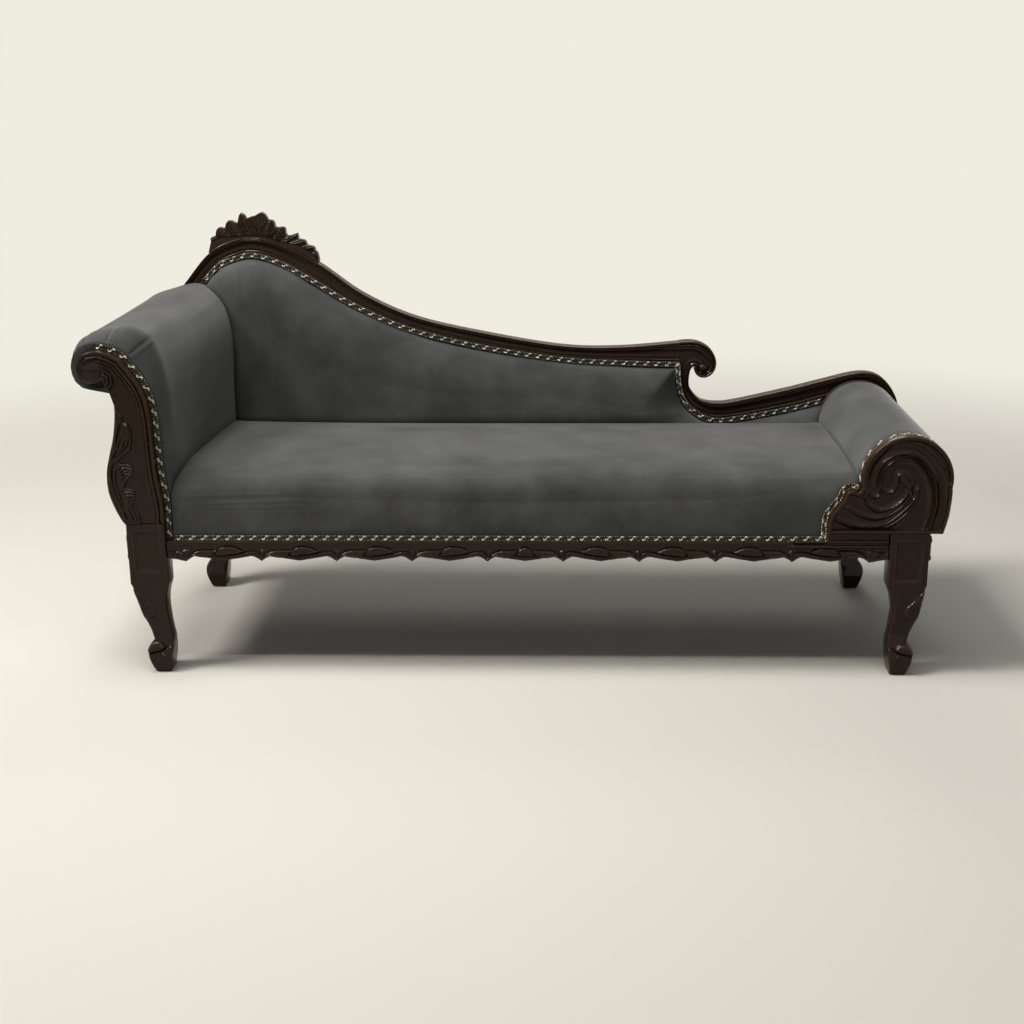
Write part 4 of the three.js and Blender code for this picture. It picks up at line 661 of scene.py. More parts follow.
def swept_spiral(eye, start, end, turns, phase):
    """A spiral line that shrinks evenly from one radius to another."""
    t = np.linspace(0, 1, 24)
    radius = start + (end - start) * t
    turn = np.radians(phase + 360 * turns * t)
    return np.stack([eye[0] + radius * np.cos(turn), eye[1] + radius * np.sin(turn)], 1)


def post_carving(points, gap):
    """Relief of the arm post: beads along its inner edge, the scroll's eye, leaves and a berry."""
    away = track(points, post_inner)[0]
    level = rounded(gap, 2.2) - np.interp(away, [1.5, 7, 9.2], [0, 1.8, 1.6])
    level += 2.2 * hump(away, 12.6, 3.4) - 1.8 * hump(away, 16.6, 1.2) - 1.6 * hump(away, 8.8, 1.2)
    shoulder = np.interp(points[:, 1], [570, 625], [0, 1])
    level += shoulder * (2.0 * hump(away, 20, 3.0) - 1.8 * hump(away, 23.6, 1.2))
    level -= 1.6 * np.clip((away - 16) / 3, 0, 1)
    ring = np.hypot(*(points - scroll_eye).T)
    disc = np.clip((24.5 - ring) / 1.5, 0, 1) * np.clip((away - 5) / 2, 0, 1)
    dome = 5.2 * hump(ring, 0, 19.6) - 3.4
    for turn_from, radius in ((95, 13.5), (275, 13.5), (185, 8)):
        dome -= gouged(points, swept_spiral(scroll_eye, radius, radius * 0.72, 0.3, turn_from), 3.4, 1.6)
    ditch = -3.6 + 1.6 * np.clip((ring - 21) / 3, 0, 1)
    level = level * (1 - disc) + np.where(ring < 19.6, dome, ditch) * disc
    mass = raised(points, POST_MASS, 5.6, 7.0)
    held = raised(points, POST_MASS, 1, 1) > 0
    for line in POST_CUTS:
        mass = mass - gouged(points, spline(line, 6), 4.2, 2.6, 0.1)
    berry = 3.0 * hump(np.hypot(*(points - BERRY).T), 0, 5.0)
    level = np.where(held, level + mass + berry, level)
    return level + bead(points, post_outer[20:] + [6.0, 0], 5.5, 2.6, 0.08)


FRONT_BOARD = (0.0, 20.0)  # front and back of the boards over the arm and the roll
carved_board(
    "Arm_post_carved", post_edge, *FRONT_BOARD, post_carving, espresso_upright, ["head_arm_post"], step=1.25
)

# ---------------------------------------------------------------------------------------------
# Volute panel. The carved front of the rolled foot end, screwed over the front board of the roll:
# spiral bands and flutes cut with a gouge round a hooked centre, inside a beaded rim.

ROLL = np.array([794.0, 432.0])
VOLUTE_RADIUS = 94.0
OGEE = [
    [634.7, 316.3], [634.7, 329], [637, 351.7], [648.8, 369.9], [662.8, 388.8], [670.9, 407],
    [683.1, 410.9], [694, 407], [701.4, 416],
]
VOLUTE_EDGE = [[887.1, 410], [886.6, 385.7], [882.8, 352.2], [873.9, 316.3]]
turns = np.radians(np.arange(190, -12.1, -3))
arc = ROLL + VOLUTE_RADIUS * np.stack([np.cos(turns), np.sin(turns)], 1)
ogee = spline(OGEE, 6)
volute_edge = np.vstack([ogee[:-1], arc, spline(VOLUTE_EDGE, 6)])
RIM_LINE = [
    [713.2, 391.8], [709.6, 413.4], [709.4, 432], [712.7, 456.3], [721.1, 474.3], [734.2, 490.7],
    [749.1, 504.3], [766, 512], [786.1, 514.6], [805.1, 511.4], [823, 503], [841.2, 488.4], [857, 471],
    [868.8, 453], [878, 431.6], [881, 413.5], [882.4, 393.6], [881, 373.7], [876.6, 350.3], [869, 318],
]
CRESTS = [
    [[731.8, 413.4], [728, 423.3], [727.9, 433.2], [729.8, 446.4], [734.5, 459.6], [743.2, 472.7],
     [756.7, 483.3], [770.5, 488.2], [784.6, 489], [800.5, 486.6], [813.5, 480], [823.5, 471.1],
     [835.4, 457.9], [844.3, 443.2], [850.2, 426.7], [853.9, 408.5], [855.3, 388.6], [853.6, 367],
     [848.1, 343.6], [840.5, 316.5]],
    [[738.9, 413.4], [737.1, 425], [739, 438.2], [742.2, 449.7], [749.3, 462.8], [759.7, 472.7],
     [771.2, 477.3], [783.7, 478.2], [796.5, 476], [807.9, 469.4], [817.9, 460.9], [826.5, 449.7],
     [835.6, 433.3], [841.4, 416.8], [844.4, 396.9], [843, 372], [838.3, 346.9], [829.6, 316.5]],
    [[712, 410], [715.7, 403.4], [720, 398.8], [727.2, 396.5], [734.3, 398.5], [736.7, 402.6]],
    [[737.2, 424], [737.5, 418.4], [740.6, 410.9], [747.2, 406.4], [754.4, 405.1], [762.2, 408.4],
     [767.3, 415.1], [770.6, 425], [771.7, 433.2], [772.7, 441.5], [777.1, 446.4], [781.8, 446.9],
     [787.6, 443.5], [793.6, 435.7], [798.1, 427.5]],
    [[696.6, 402], [698.6, 398.8], [705.5, 388.5], [714, 378.5], [725.5, 371.8], [736.9, 368], [747.9, 369],
     [758.9, 371.9], [771.2, 378.2], [781, 385.5], [789.9, 396], [796.3, 406.8], [799.9, 419.2],
     [797.9, 430]],
    [[662.5, 375], [674.8, 369.3], [687.9, 361.8], [700.9, 356.8], [715.5, 352.6], [729.9, 350.9],
     [744.2, 352.6], [756.6, 356.8], [768.9, 363.9], [781.7, 374.4], [792, 386.9], [799.2, 398.5],
     [803.1, 411]],
    [[640.5, 350.6], [653.7, 345.8], [666.8, 340.8], [681.3, 336.6], [695.8, 334.1], [710.3, 333.1],
     [724.6, 332.8], [737.3, 334.2], [748.3, 337], [759.1, 342.1], [771.2, 351.8], [785.5, 364.4],
     [798.9, 378.2], [807.2, 390.2], [812.1, 400.2]],
    [[748.7, 330], [768.8, 340.1], [784, 351.8], [798.9, 366.9], [810.4, 385.2], [814.7, 403.5],
     [814.6, 416.8]],
]
EYE_HOLLOW = [[775, 436], [780, 429], [789, 421], [794, 412]]


def ridge(points, line, width):
    """Sharp crest between two gouge cuts, from 0 at its foot to 1, running out at its ends."""
    gap, _, share = track(points, line)
    run = np.clip(np.minimum(share, 1 - share) / 0.05, 0.1, 1) ** 0.5
    return run * np.clip(1 - gap / width, 0, 1) ** 1.5


def volute_carving(points, gap):
    """Relief of the volute: hollows between nosed crests, and a bead and quirk inside the rim."""
    field = np.zeros(len(points))
    for line in CRESTS:
        field = np.maximum(field, ridge(points, spline(line, 6), 10.0))
    away, side, _ = track(points, spline(RIM_LINE, 6))
    field = np.maximum(field, np.clip(1 - away / 12, 0, 1) ** 1.5)
    inside = (points[:, 1] < 395) & (points[:, 0] < 728)
    dished = np.where((side < 0) | inside, 1.0, 0.0) * np.clip((gap - 8.5) / 2.5, 0, 1)
    dished = dished * np.clip((points[:, 1] - 318) / 5, 0, 1)
    level = rounded(gap, 2.2) - 6.0 * (1 - field) * dished
    level -= gouged(points, spline(EYE_HOLLOW, 6), 7, 2.5)
    level += 1.8 * hump(gap, 4.2, 3.8) - 1.9 * hump(gap, 9.2, 1.5)
    nosing = [bead(points, spline(line, 6), 3.8, 1.7, 0.07) for line in CRESTS + [RIM_LINE]]
    return level + np.max(nosing, axis=0)


carved_board(
    "Volute_panel_carved", volute_edge, *FRONT_BOARD, volute_carving, espresso_upright,
    ["foot_volute_panel"], step=1.25,
)

# ---------------------------------------------------------------------------------------------
# Crest rail and foot back rail. Moulded hardwood rails, band sawn to a serpentine and shaped with a
# router: a rounded outer edge, a quirk and bead, a flat cove and an inner bead beside the cover. The
# crest rail ends in a curl, and a fan of leaves is glued and screwed on top of its high end.

RAIL_FACE, RAIL_BACK = 580.0, 616.0
CREST_OUTER = [
    [-837, 756], [-828, 768.3], [-771.8, 832.9], [-715.6, 863.5], [-654.3, 873], [-585.4, 852.4],
    [-501.1, 808.4], [-400.2, 737.6], [-272.5, 680.3], [-93.7, 639.1], [83.8, 610.1], [219.1, 607.3],
    [359.6, 618.5],
]
CREST_INNER = [
    [-804.5, 753.5], [-796.7, 764.9], [-753.9, 808.9], [-706.7, 830.7], [-662, 838.5], [-600.7, 821.2],
    [-521.5, 778.3], [-416.8, 714.8], [-282.7, 656.3], [-102.7, 612.9], [81.2, 584.5], [219.1, 576.1],
    [359, 571.5],
]
FOOT_OUTER = [
    [396, 560.5], [388, 548.6], [385, 525.7], [387.3, 507.4], [398.7, 490], [417.6, 474.5], [453.5, 469],
    [501.1, 474.4], [623.7, 501.9], [705.8, 523], [794, 543], [848.1, 531.9], [885.2, 485.3], [894.6, 432],
    [888, 362.8], [874.8, 316.6],
]
FOOT_INNER = [
    [359, 570.9], [364.9, 554.4], [366.1, 529.6], [371.3, 502], [380.2, 480], [398.7, 457.2],
    [439.3, 435.2], [497.7, 437], [623.7, 460.6], [708.9, 482.8], [794, 507.2], [830.7, 495.5],
    [856.8, 464], [859.8, 432], [850.4, 362.8], [826.9, 316.6],
]
# Share of the way from the inner to the outer edge, and how far the wood is cut back there.
MOULDING = [
    [0, 4.5], [0.01, 2.5], [0.03, 1.3], [0.06, 0.6], [0.095, 0.6], [0.125, 1.4], [0.15, 3.2], [0.17, 4.6],
    [0.2, 4.6], [0.24, 4.2], [0.32, 4.6], [0.42, 5.0], [0.52, 5.0], [0.6, 4.6], [0.67, 4.2], [0.7, 4.8],
    [0.715, 3.6], [0.725, 1.6], [0.74, 0.9], [0.76, 1.2], [0.775, 2.6], [0.79, 4.2], [0.805, 4.2],
    [0.82, 2.4], [0.835, 0.7], [0.85, 0.3], [0.866, 0.8], [0.88, 2.0], [0.892, 2.4], [0.91, 1.2],
    [0.93, 0.7], [0.955, 0.8], [0.975, 1.5], [0.99, 2.8], [1.0, 5.5],
]
REAR_EASING = [(1.0, 4), (0.97, 1), (0.9, 0), (0.1, 0), (0.03, 1), (0, 4)]


def moulded_rail(name, outer, inner, node_name):
    """A rail run between two lines, with the moulding on its face and its rear edges eased."""
    section = [(across, RAIL_FACE + sunk) for across, sunk in MOULDING]
    section += [(across, RAIL_BACK - eased) for across, eased in REAR_EASING]
    rings = np.stack([at_depth(inner + (outer - inner) * across, y) for across, y in section], 1)
    piece(name, *loft(rings), espresso_level, "espresso_wood", node_name)


crest_outer, crest_inner = spline(CREST_OUTER, 14), spline(CREST_INNER, 14)
foot_outer, foot_inner = spline(FOOT_OUTER, 10), spline(FOOT_INNER, 10)
moulded_rail("Crest_rail_moulded", crest_outer, crest_inner, "crest_rail")
moulded_rail("Foot_back_rail_moulded", foot_outer, foot_inner, "foot_back_rail")

CURL = [
    [358.8, 618.4], [378, 620.4], [396.5, 619.5], [413.9, 614.5], [427.7, 606.8], [438, 597.4],
    [444.9, 587.3], [448.9, 577.3], [450.5, 567.9], [450.1, 559.3], [448.3, 551.8], [445.2, 545.4],
    [441.2, 540.1], [436.5, 536], [431.4, 533], [426, 531.3], [420.4, 530.7], [415, 531.4], [409.9, 533.2],
    [405.4, 536.1], [401.7, 540], [399, 544.7], [397.5, 549.8], [397.3, 555.2],
]
# Distance from the curl's outer edge, and how far the wood is cut back there.
CURL_MOULDING = [
    [0, 5], [0.6, 2.4], [2, 0.7], [4, 0.6], [6, 2.6], [7.2, 3.9], [8.4, 2.2], [10, 0.9], [11.5, 2.2],
    [13, 4.4], [15, 4.0], [18, 3.6], [24, 4.6],
]
curl_eye = np.array([419.2, 553.3])
curl_line = spline(CURL, 4)
curl_edge = np.vstack([curl_line, [[396, 561.1], [358.8, 571.6]]])


def curl_carving(points, gap):
    """Relief of the rail's curl: its moulding run round to a domed button."""
    level = -np.interp(track(points, curl_line)[0], *np.transpose(CURL_MOULDING))
    ring = np.hypot(*(points - curl_eye).T)
    eye = np.clip((13 - ring) / 1.5, 0, 1)
    button = 5.5 * np.sqrt(np.clip(1 - (ring / 11) ** 2, 0, 1)) - 5.0
    return level * (1 - eye) + button * eye


carved_board(
    "Crest_curl_carved", curl_edge, RAIL_FACE, RAIL_BACK, curl_carving, espresso_level, [], step=1.2
)

CARVING_EDGE = [
    (-770.7, 835.7), (-765.3, 854.8), (-762.6, 863.3), (-763.7, 869.2), (-761.3, 872.8), (-756.9, 874.9),
    (-750.7, 877.0), (-749.8, 884.4), (-747.9, 890.7), (-742.6, 896.0), (-735.2, 895.3), (-727.8, 893.2),
    (-725.8, 900.1), (-724.2, 905.4), (-719.1, 912.1), (-711.6, 911.6), (-702.2, 906.7), (-696.3, 906.3),
    (-694.4, 915.7), (-692.2, 924.1), (-688.0, 930.0), (-681.8, 926.2), (-677.8, 920.3), (-674.9, 916.0),
    (-669.3, 919.4), (-662.8, 921.9), (-657.4, 921.4), (-647.4, 927.7), (-638.7, 931.8), (-630.4, 925.9),
    (-626.5, 919.6), (-623.0, 913.3), (-617.2, 912.8), (-613.0, 911.9), (-609.0, 906.9), (-607.3, 897.4),
    (-603.2, 895.3), (-595.6, 896.3), (-587.0, 896.3), (-583.0, 892.0), (-582.4, 881.5), (-579.5, 876.2),
    (-570.9, 876.1), (-558.8, 880.9), (-554.5, 881.3), (-553.1, 875.0), (-552.4, 868.0), (-545.6, 866.5),
    (-539.2, 865.4), (-535.1, 861.8), (-533.3, 854.8), (-527.0, 851.6), (-518.4, 850.5), (-514.4, 845.8),
    (-513.2, 838.8), (-510.0, 838.4), (-507.4, 832.4), (-504.8, 819.6), (-505.2, 811.1),
]
LEAF_TIPS = [
    (-761.4, 872.2), (-743.8, 895.3), (-718.0, 911.6), (-688.0, 929.3), (-662.8, 921.4), (-638.7, 931.4),
    (-613.0, 911.5), (-587.0, 895.8), (-555.6, 880.9), (-538.2, 865.0), (-517.4, 850.1), (-507.5, 832.0),
]
LEAF_ROOTS = [
    (-742, 862), (-717, 871), (-692, 873), (-668, 876), (-653, 877), (-643, 877), (-632, 874), (-610, 866),
    (-592, 860), (-575, 856), (-552, 846), (-530, 832),
]
LEAF_HALF = [12, 15, 16, 15, 13, 15, 15, 15, 13, 11, 11, 9]
BASE_LINE = [
    (-767.1, 850.6), (-761.0, 861.2), (-750.7, 869), (-736.4, 872.4), (-717.1, 873.4), (-691.2, 874.7),
    (-661.1, 875.9), (-643.9, 876.3), (-626.9, 872.8), (-610.0, 866.5), (-590.9, 860.9), (-571.7, 857.3),
    (-554.6, 852.7), (-535.7, 843.5), (-519.1, 832.7), (-506.9, 817.6),
]
VEINS = [
    [[-731.4, 886.3], [-714.1, 874.5]], [[-710.1, 890.7], [-690.2, 874.5]], [[-699.2, 898], [-681, 876.5]],
    [[-688, 909.7], [-677.1, 890.5], [-667.3, 879]], [[-678.9, 911.1], [-669.3, 894.9], [-653.8, 879]],
    [[-665.2, 914], [-655, 896.3], [-650.6, 882]], [[-626.5, 911.4], [-639.2, 897.7], [-645.3, 884.5]],
    [[-613.3, 906.4], [-621.2, 897.6], [-635.4, 885.9]], [[-593.4, 886.6], [-610.6, 873.5]],
    [[-586.3, 878.3], [-597.4, 866.9]], [[-555, 875.2], [-576.2, 870.8], [-591.7, 862]],
]
BRIGHT_VEIN = [[-604.9, 895.4], [-609.9, 885.8], [-627, 876.5]]
fan_foot = crest_outer[(crest_outer[:, 0] > -770) & (crest_outer[:, 0] < -505)] + [0, 0.6]
fan_edge = np.vstack([np.array(CARVING_EDGE, float), fan_foot[::-1]])


def fan_carving(points, gap):
    """Relief of the fan: overlapping leaves with cut midribs and veins over a smooth foot strip."""
    level = np.full(len(points), -8.0)
    for tip, root, half in zip(LEAF_TIPS, LEAF_ROOTS, LEAF_HALF):
        axis = np.subtract(tip, root)
        length = np.hypot(*axis)
        axis = axis / length
        rel = points - root
        share = np.clip(rel @ axis / length, 0, 1)
        across = np.abs(rel[:, 0] * axis[1] - rel[:, 1] * axis[0])
        width = half * np.interp(share, [0, 0.25, 0.6, 0.85, 1], [0.34, 0.62, 1.0, 0.85, 0.35])
        crown = 5.2 * np.clip(1 - (across / width) ** 2, 0, 1) ** 0.7 - 5.0 - 1.6 * share
        crown -= 1.0 * hump(across, 0, 1.1) + 0.9 * hump(across, 0.52 * width, 1.1) * (share > 0.08)
        level = np.maximum(level, np.where(across < width, crown, -8.0))
    level = np.maximum(level, -5.6)
    for line in VEINS:
        line = spline(line, 5)
        level += bead(points, line, 2.4, 1.5, 0.2) - gouged(points, line + [1.8, 0.6], 2.2, 1.0)
    level = np.maximum(level, bead(points, spline(BRIGHT_VEIN, 5), 6.5, 4.0, 0.15) - 2.6)
    below, side, _ = track(points, spline(BASE_LINE, 6))
    strip = np.where(side < 0, 1.0, np.clip(1 - below / 1.5, 0, 1))
    smooth = -3.4 + 1.6 * np.clip(below / 14, 0, 1)
    level = level * (1 - strip) + smooth * strip
    return np.minimum(level, rounded(gap, 2.0) - 0.3)


carved_board(
    "Crest_fan_carved", fan_edge, 587.0, 609.0, fan_carving, espresso_level, ["crest_carving"], step=0.95
)

# ---------------------------------------------------------------------------------------------
# Upholstery. Sprung and stuffed seat, tight back, scrolled arm pad and roll, all covered in
# charcoal velvet pulled over the stuffing and tacked along the show wood under the gimp.


def velvet(name):
    """Charcoal cotton velvet: wide soft patches where the pile leans different ways, dark when looked
    at straight on with a pale bloom at grazing angles, a fine pile drawn about 1 mm across, and
    painted shade that darkens its colour in creases and where it meets its neighbours."""
    made, tree, shader = new_material(name, Roughness=0.9, Sheen_Weight=0.38, Sheen_Roughness=0.45)
    shader.inputs["Sheen Tint"].default_value = colour("#D8D9DA")
    shader.inputs["Specular IOR Level"].default_value = 0.1
    place = node(tree, "TexCoord").outputs["Object"]
    patches = {"Vector": place, "Scale": 8.0, "Detail": 6.0, "Roughness": 0.6, "Distortion": 0.15}
    cloud = node(tree, "TexNoise", patches)
    lean = node(tree, "MapRange", {"Value": cloud.outputs["Fac"], "From Min": 0.3, "From Max": 0.7})
    nap = {"Factor": lean.outputs[0], 6: colour("#323334"), 7: colour("#4B4C4C")}
    nap = node(tree, "Mix", nap, data_type="RGBA")
    pile = node(tree, "TexNoise", {"Vector": place, "Scale": 900.0, "Detail": 2.0})
    shade = node(tree, "MapRange", {"Value": pile.outputs["Fac"], "To Min": 0.86, "To Max": 1.14})
    tint = node(tree, "VectorMath", {0: nap.outputs[2], "Scale": shade.outputs[0]}, operation="SCALE")
    # Painted shade: ambient occlusion darkens the velvet's colour in creases and where it meets its
    # neighbours.
    crease_occlusion = node(tree, "AmbientOcclusion", {"Distance": 0.02}, samples=6).outputs["AO"]
    painted_crease_shade = node(tree, "MapRange", {"Value": crease_occlusion, "From Min": 0.4, "From Max": 0.9, "To Min": 0.12})
    nap_with_painted_shade = node(tree, "VectorMath", {0: tint.outputs[0], "Scale": painted_crease_shade.outputs[0]}, operation="SCALE")
    tree.links.new(nap_with_painted_shade.outputs[0], shader.inputs["Base Color"])
    rough = {"Factor": 0.35, 2: cloud.outputs["Fac"], 3: pile.outputs["Fac"]}
    rough = node(tree, "Mix", rough, data_type="FLOAT")
    relief = node(tree, "Bump", {"Height": rough.outputs[0], "Strength": 0.35, "Distance": 0.0012})
    tree.links.new(relief.outputs[0], shader.inputs["Normal"])
    return made


charcoal_velvet = velvet("Charcoal_cotton_velvet")
# Length of a simulation, push of the stuffing and share by which the velvet pulls itself smaller.
SIM_FRAMES, PRESSURE, SHRINK = 20, 4.0, 0.02


def covered(name, rings, *nodes, sharp=60):
    """A velvet piece through rings of points."""
    return piece(name, *loft(np.array(rings)), charcoal_velvet, "charcoal_velvet", *nodes, sharp=sharp)


def stuffed(made, room, cap):
    """Swells the cover of a pad against its stuffing by cloth simulation. It is held where it is tacked
    or rests on a neighbour; room(points) is the share of the cap, in millimetres, open to each point,
    and a number that divides there is the distance over which the cover comes free."""
    mesh = made.data
    rest = np.array([v.co for v in mesh.vertices])
    share = np.clip(room((rest - origin) / MM), 0, 1)
    held = made.vertex_groups.new(name="Tacked")
    held.add([int(i) for i in np.flatnonzero(share <= 0)], 1.0, "REPLACE")
    cloth = made.modifiers.new("Cover", "CLOTH")
    cloth.settings.vertex_group_mass = "Tacked"
    cloth.settings.quality = 4
    cloth.settings.use_pressure = True
    cloth.settings.uniform_pressure_force = PRESSURE
    cloth.settings.effector_weights.gravity = 0.0
    cloth.settings.shrink_min = SHRINK
    cloth.collision_settings.use_collision = False
    cloth.point_cache.frame_start, cloth.point_cache.frame_end = 1, SIM_FRAMES
    for number in range(1, SIM_FRAMES + 1):
        bpy.context.scene.frame_set(number)
    swollen = made.evaluated_get(bpy.context.evaluated_depsgraph_get()).to_mesh()
    move = np.array([v.co for v in swollen.vertices]) - rest
    made.modifiers.remove(cloth)
    size = np.linalg.norm(move, axis=1)
    limit = cap * MM * np.sqrt(share)
    move *= np.minimum(1, limit / np.maximum(size, 1e-9))[:, None]
    mesh.vertices.foreach_set("co", (rest + move).ravel())
    mesh.update()
    bpy.context.scene.frame_set(1)


def subdivided(made):
    """One round of subdivision, hard edges kept."""
    mesh = made.data
    crease = mesh.attributes.get("crease_edge") or mesh.attributes.new("crease_edge", "FLOAT", "EDGE")
    crease.data.foreach_set("value", [float(e.use_edge_sharp) for e in mesh.edges])
    finer = made.modifiers.new("Finer", "SUBSURF")
    finer.levels = finer.render_levels = 1


DECK = 316.3  # top of the seat frame
PAD_BACK, PAD_FRONT = 591.7, 529.7  # rear and front of the back pad
GIMP_LAND = 16.0  # strip at a pad's edge that the gimp covers
ARM_FRONT, ARM_REAR = 20.3, 579.7
ARM_ROUNDING = 44.0  # depth over which the pad fills out behind its front edge
ARM_STUFFING = 108.0
DARTS = np.array([[-905, 706.6], [-867.7, 707], [-830.5, 685]])


def travelled(line):
    """Distance along a line at each of its points."""
    return np.concatenate([[0], np.cumsum(np.hypot(*np.diff(line, axis=0).T))])


full_rows = spline([[-766, DECK, 0.46, 0.45]] + ARM_CONTOUR, 60)
dart_rows = [int(np.hypot(*(full_rows[:, :2] - d).T).argmin()) for d in DARTS]
beside_darts = {k + step for k in dart_rows for step in range(-8, 9, 2)}
picked = sorted({*range(0, len(full_rows), 8), *beside_darts, len(full_rows) - 1})
arm_rows = full_rows[picked]
arm_line = arm_rows[:, :2]
arm_out = -leftward(np.gradient(full_rows[:, :2], axis=0)[picked])
arm_upto = travelled(arm_line)
arm_rounding = ARM_ROUNDING + 40 * np.clip((640 - arm_line[:, 1]) / 200, 0, 1)
dart_upto = [arm_upto[picked.index(k)] for k in dart_rows]


def eased(line, reach):
    """Moving average of a line over a reach along it, its ends held."""
    upto = travelled(line)
    grid = np.arange(0, upto[-1], 2.0)
    weight = np.hanning(int(reach / 2) + 1)
    pad = len(weight) // 2
    flat = []
    for k in (0, 1):
        row = np.interp(grid, upto, line[:, k])
        row = np.concatenate([2 * row[0] - row[pad:0:-1], row, 2 * row[-1] - row[-2 : -pad - 2 : -1]])
        flat.append(np.interp(upto, grid, np.convolve(row, weight / weight.sum(), "same")[pad:-pad]))
    return np.stack(flat, 1)


def arm_surface(y):
    """Outer line of the arm pad at a depth."""
    along = (y - ARM_FRONT) / (ARM_REAR - ARM_FRONT)
    swell = 1 - (1 - along) ** 1.7
    near = np.minimum((y - ARM_FRONT) / arm_rounding, 1)
    full = ARM_STUFFING * arm_rows[:, 2] * (arm_rows[:, 3] + (1 - arm_rows[:, 3]) * swell)
    thick = GIMP_LAND + (full - GIMP_LAND) * (1 - (1 - near) ** 2.6)
    line = arm_line + arm_out * thick[:, None]
    return line + (eased(line, 90) - line) * along**0.6


def arm_folds(y):
    """Depth of the darts and gathers that take up the velvet over the scroll."""
    fade = max(0.0, 1 - (y - ARM_FRONT) / 46) ** 0.7 * min(1.0, (y - ARM_FRONT) / 4)
    depth = 0
    for dart in dart_upto:
        gap = np.abs(arm_upto - dart)
        depth = depth + (np.exp(-((gap / 2.2) ** 1.6)) * 4.2 - 1.1 * np.exp(-(((gap - 7) / 4) ** 2)))
    over = np.clip((arm_upto - dart_upto[2]) / 30, 0, 1)
    gathers = 0.5 * np.sin(arm_upto * 2 * math.pi / 11.0) * max(0.0, 1 - (y - ARM_FRONT) / 18)
    return depth * fade + over * gathers


near_rows = ARM_FRONT + ARM_ROUNDING * (1 - np.cos(np.linspace(0, math.pi / 2, 14)))
shoulder = near_rows[-1]
arm_depths = np.concatenate([
    near_rows, np.linspace(shoulder, shoulder + 30, 7)[1:-1], np.linspace(shoulder + 30, ARM_REAR, 60)
])
arm_rings = []
for y in arm_depths.tolist():
    outer = arm_surface(y) - arm_out * arm_folds(y)[:, None]
    inner = (arm_line + arm_out * 0.3)[::6]
    arm_rings.append(np.vstack([at_depth(outer, y), at_depth(inner[::-1], y)]))
arm_pad = covered("Arm_pad_velvet", arm_rings, "head_arm_pad")


def arm_room(points):
    """Free over the top and the inner face, above the seat and away from the gimp and the back."""
    away = track(points[:, [0, 2]], arm_line)[0]
    free = np.minimum((points[:, 2] - 470) / 60, (away - 6) / 12)
    free = np.minimum(free, (points[:, 1] - ARM_FRONT - 8) / 60)
    rear = np.interp(points[:, 0], [-830, -770], [ARM_REAR, PAD_FRONT])
    return np.minimum(free, (rear - 4 - points[:, 1]) / 160)


stuffed(arm_pad, arm_room, 4.0)
subdivided(arm_pad)

ROLL_LAND, ROLL_FULL, ROLL_PAD = 91.0, 97.0, 39.0  # radius under the gimp and in full, and thickness
ROLL_BAND = 12.9  # strip at each end of the roll that the gimp covers
ROLL_START, ROLL_END = -6, 222  # degrees from the outside, over the top and under to the seat
roll_turns = np.radians(np.linspace(ROLL_START, ROLL_END, 130))
roll_core = np.radians(np.linspace(ROLL_END, ROLL_START, 30))
full_depths = np.linspace(ARM_FRONT + ROLL_BAND, ARM_REAR - ROLL_BAND, 86)


def roll_radius(y):
    """Radius of the roll's cover at a depth, drawn in beside the gimp at each end."""
    near = np.minimum(y - (ARM_FRONT + ROLL_BAND), (ARM_REAR - ROLL_BAND) - y)
    return ROLL_LAND + (ROLL_FULL - ROLL_LAND) * np.sqrt(1 - (1 - np.clip(near / 30, 0, 1)) ** 2)


around = np.concatenate([roll_turns, roll_core])
pleats = 0.7 * (1 + np.sin(roll_turns * 25 + np.sin(roll_turns * 7)))
roll_rings = []
for y in [ARM_FRONT, *full_depths, ARM_REAR]:
    outer = roll_radius(y) - pleats * np.clip(1 - (y - ARM_FRONT - 13) / 38, 0, 1)
    radii = np.concatenate([outer, np.full(len(roll_core), ROLL_FULL - ROLL_PAD)])
    ring = zip(radii, around)
    roll_rings.append([[ROLL[0] + r * math.cos(a), y, ROLL[1] + r * math.sin(a)] for r, a in ring])
roll_pad = covered("Roll_pad_velvet", roll_rings, "foot_roll_pad")


def roll_room(points):
    """Free over the top of the roll, away from the gimp, the seat and the outside cover."""
    spot = points[:, [0, 2]] - ROLL
    turn = np.degrees(np.arctan2(spot[:, 1], spot[:, 0]))
    free = np.minimum((turn - 4) / 30, (172 - turn) / 20)
    free = np.where(np.hypot(*spot.T) > ROLL_LAND - 4, free, 0)
    return np.minimum(free, np.minimum(points[:, 1] - ARM_FRONT - 16, ARM_REAR - 16 - points[:, 1]) / 40)


stuffed(roll_pad, roll_room, 4.0)
subdivided(roll_pad)

# Thickness of the back at its edge and in full, and the distance over which it fills out.
BACK_EDGE, BACK_THICK, BACK_RUN = 12.0, 62.0, 110.0
back_line = np.vstack([spline(CREST_INNER[1:], 14), foot_inner[1:]])
back_run = back_line[back_line[:, 0] < 715]
back_run = back_run[: np.argmax(back_run[:, 0] > 710) or None]
back_seam = back_run - leftward(np.gradient(back_run, axis=0)) * 0.6
back_rings = []
last_x = -math.inf
for x, z in spaced(back_seam, 9):
    x = last_x = max(x, last_x + 0.3)
    rows = z - (z - DECK) * np.linspace(1, 0, 56) ** 1.35
    plan = np.stack([np.full(len(rows), x), rows], 1)
    inside = np.clip((track(plan, back_seam)[0] - GIMP_LAND) / BACK_RUN, 0, 1)
    depth = BACK_EDGE + (BACK_THICK - 4 - BACK_EDGE) * np.sqrt(1 - (1 - inside) ** 2)
    rear = [[x, PAD_BACK, z], [x, PAD_BACK, DECK]]
    back_rings.append(np.vstack([at_depth(plan, PAD_BACK - depth), rear]))
back_pad = covered("Back_pad_velvet", back_rings, "back_pad")


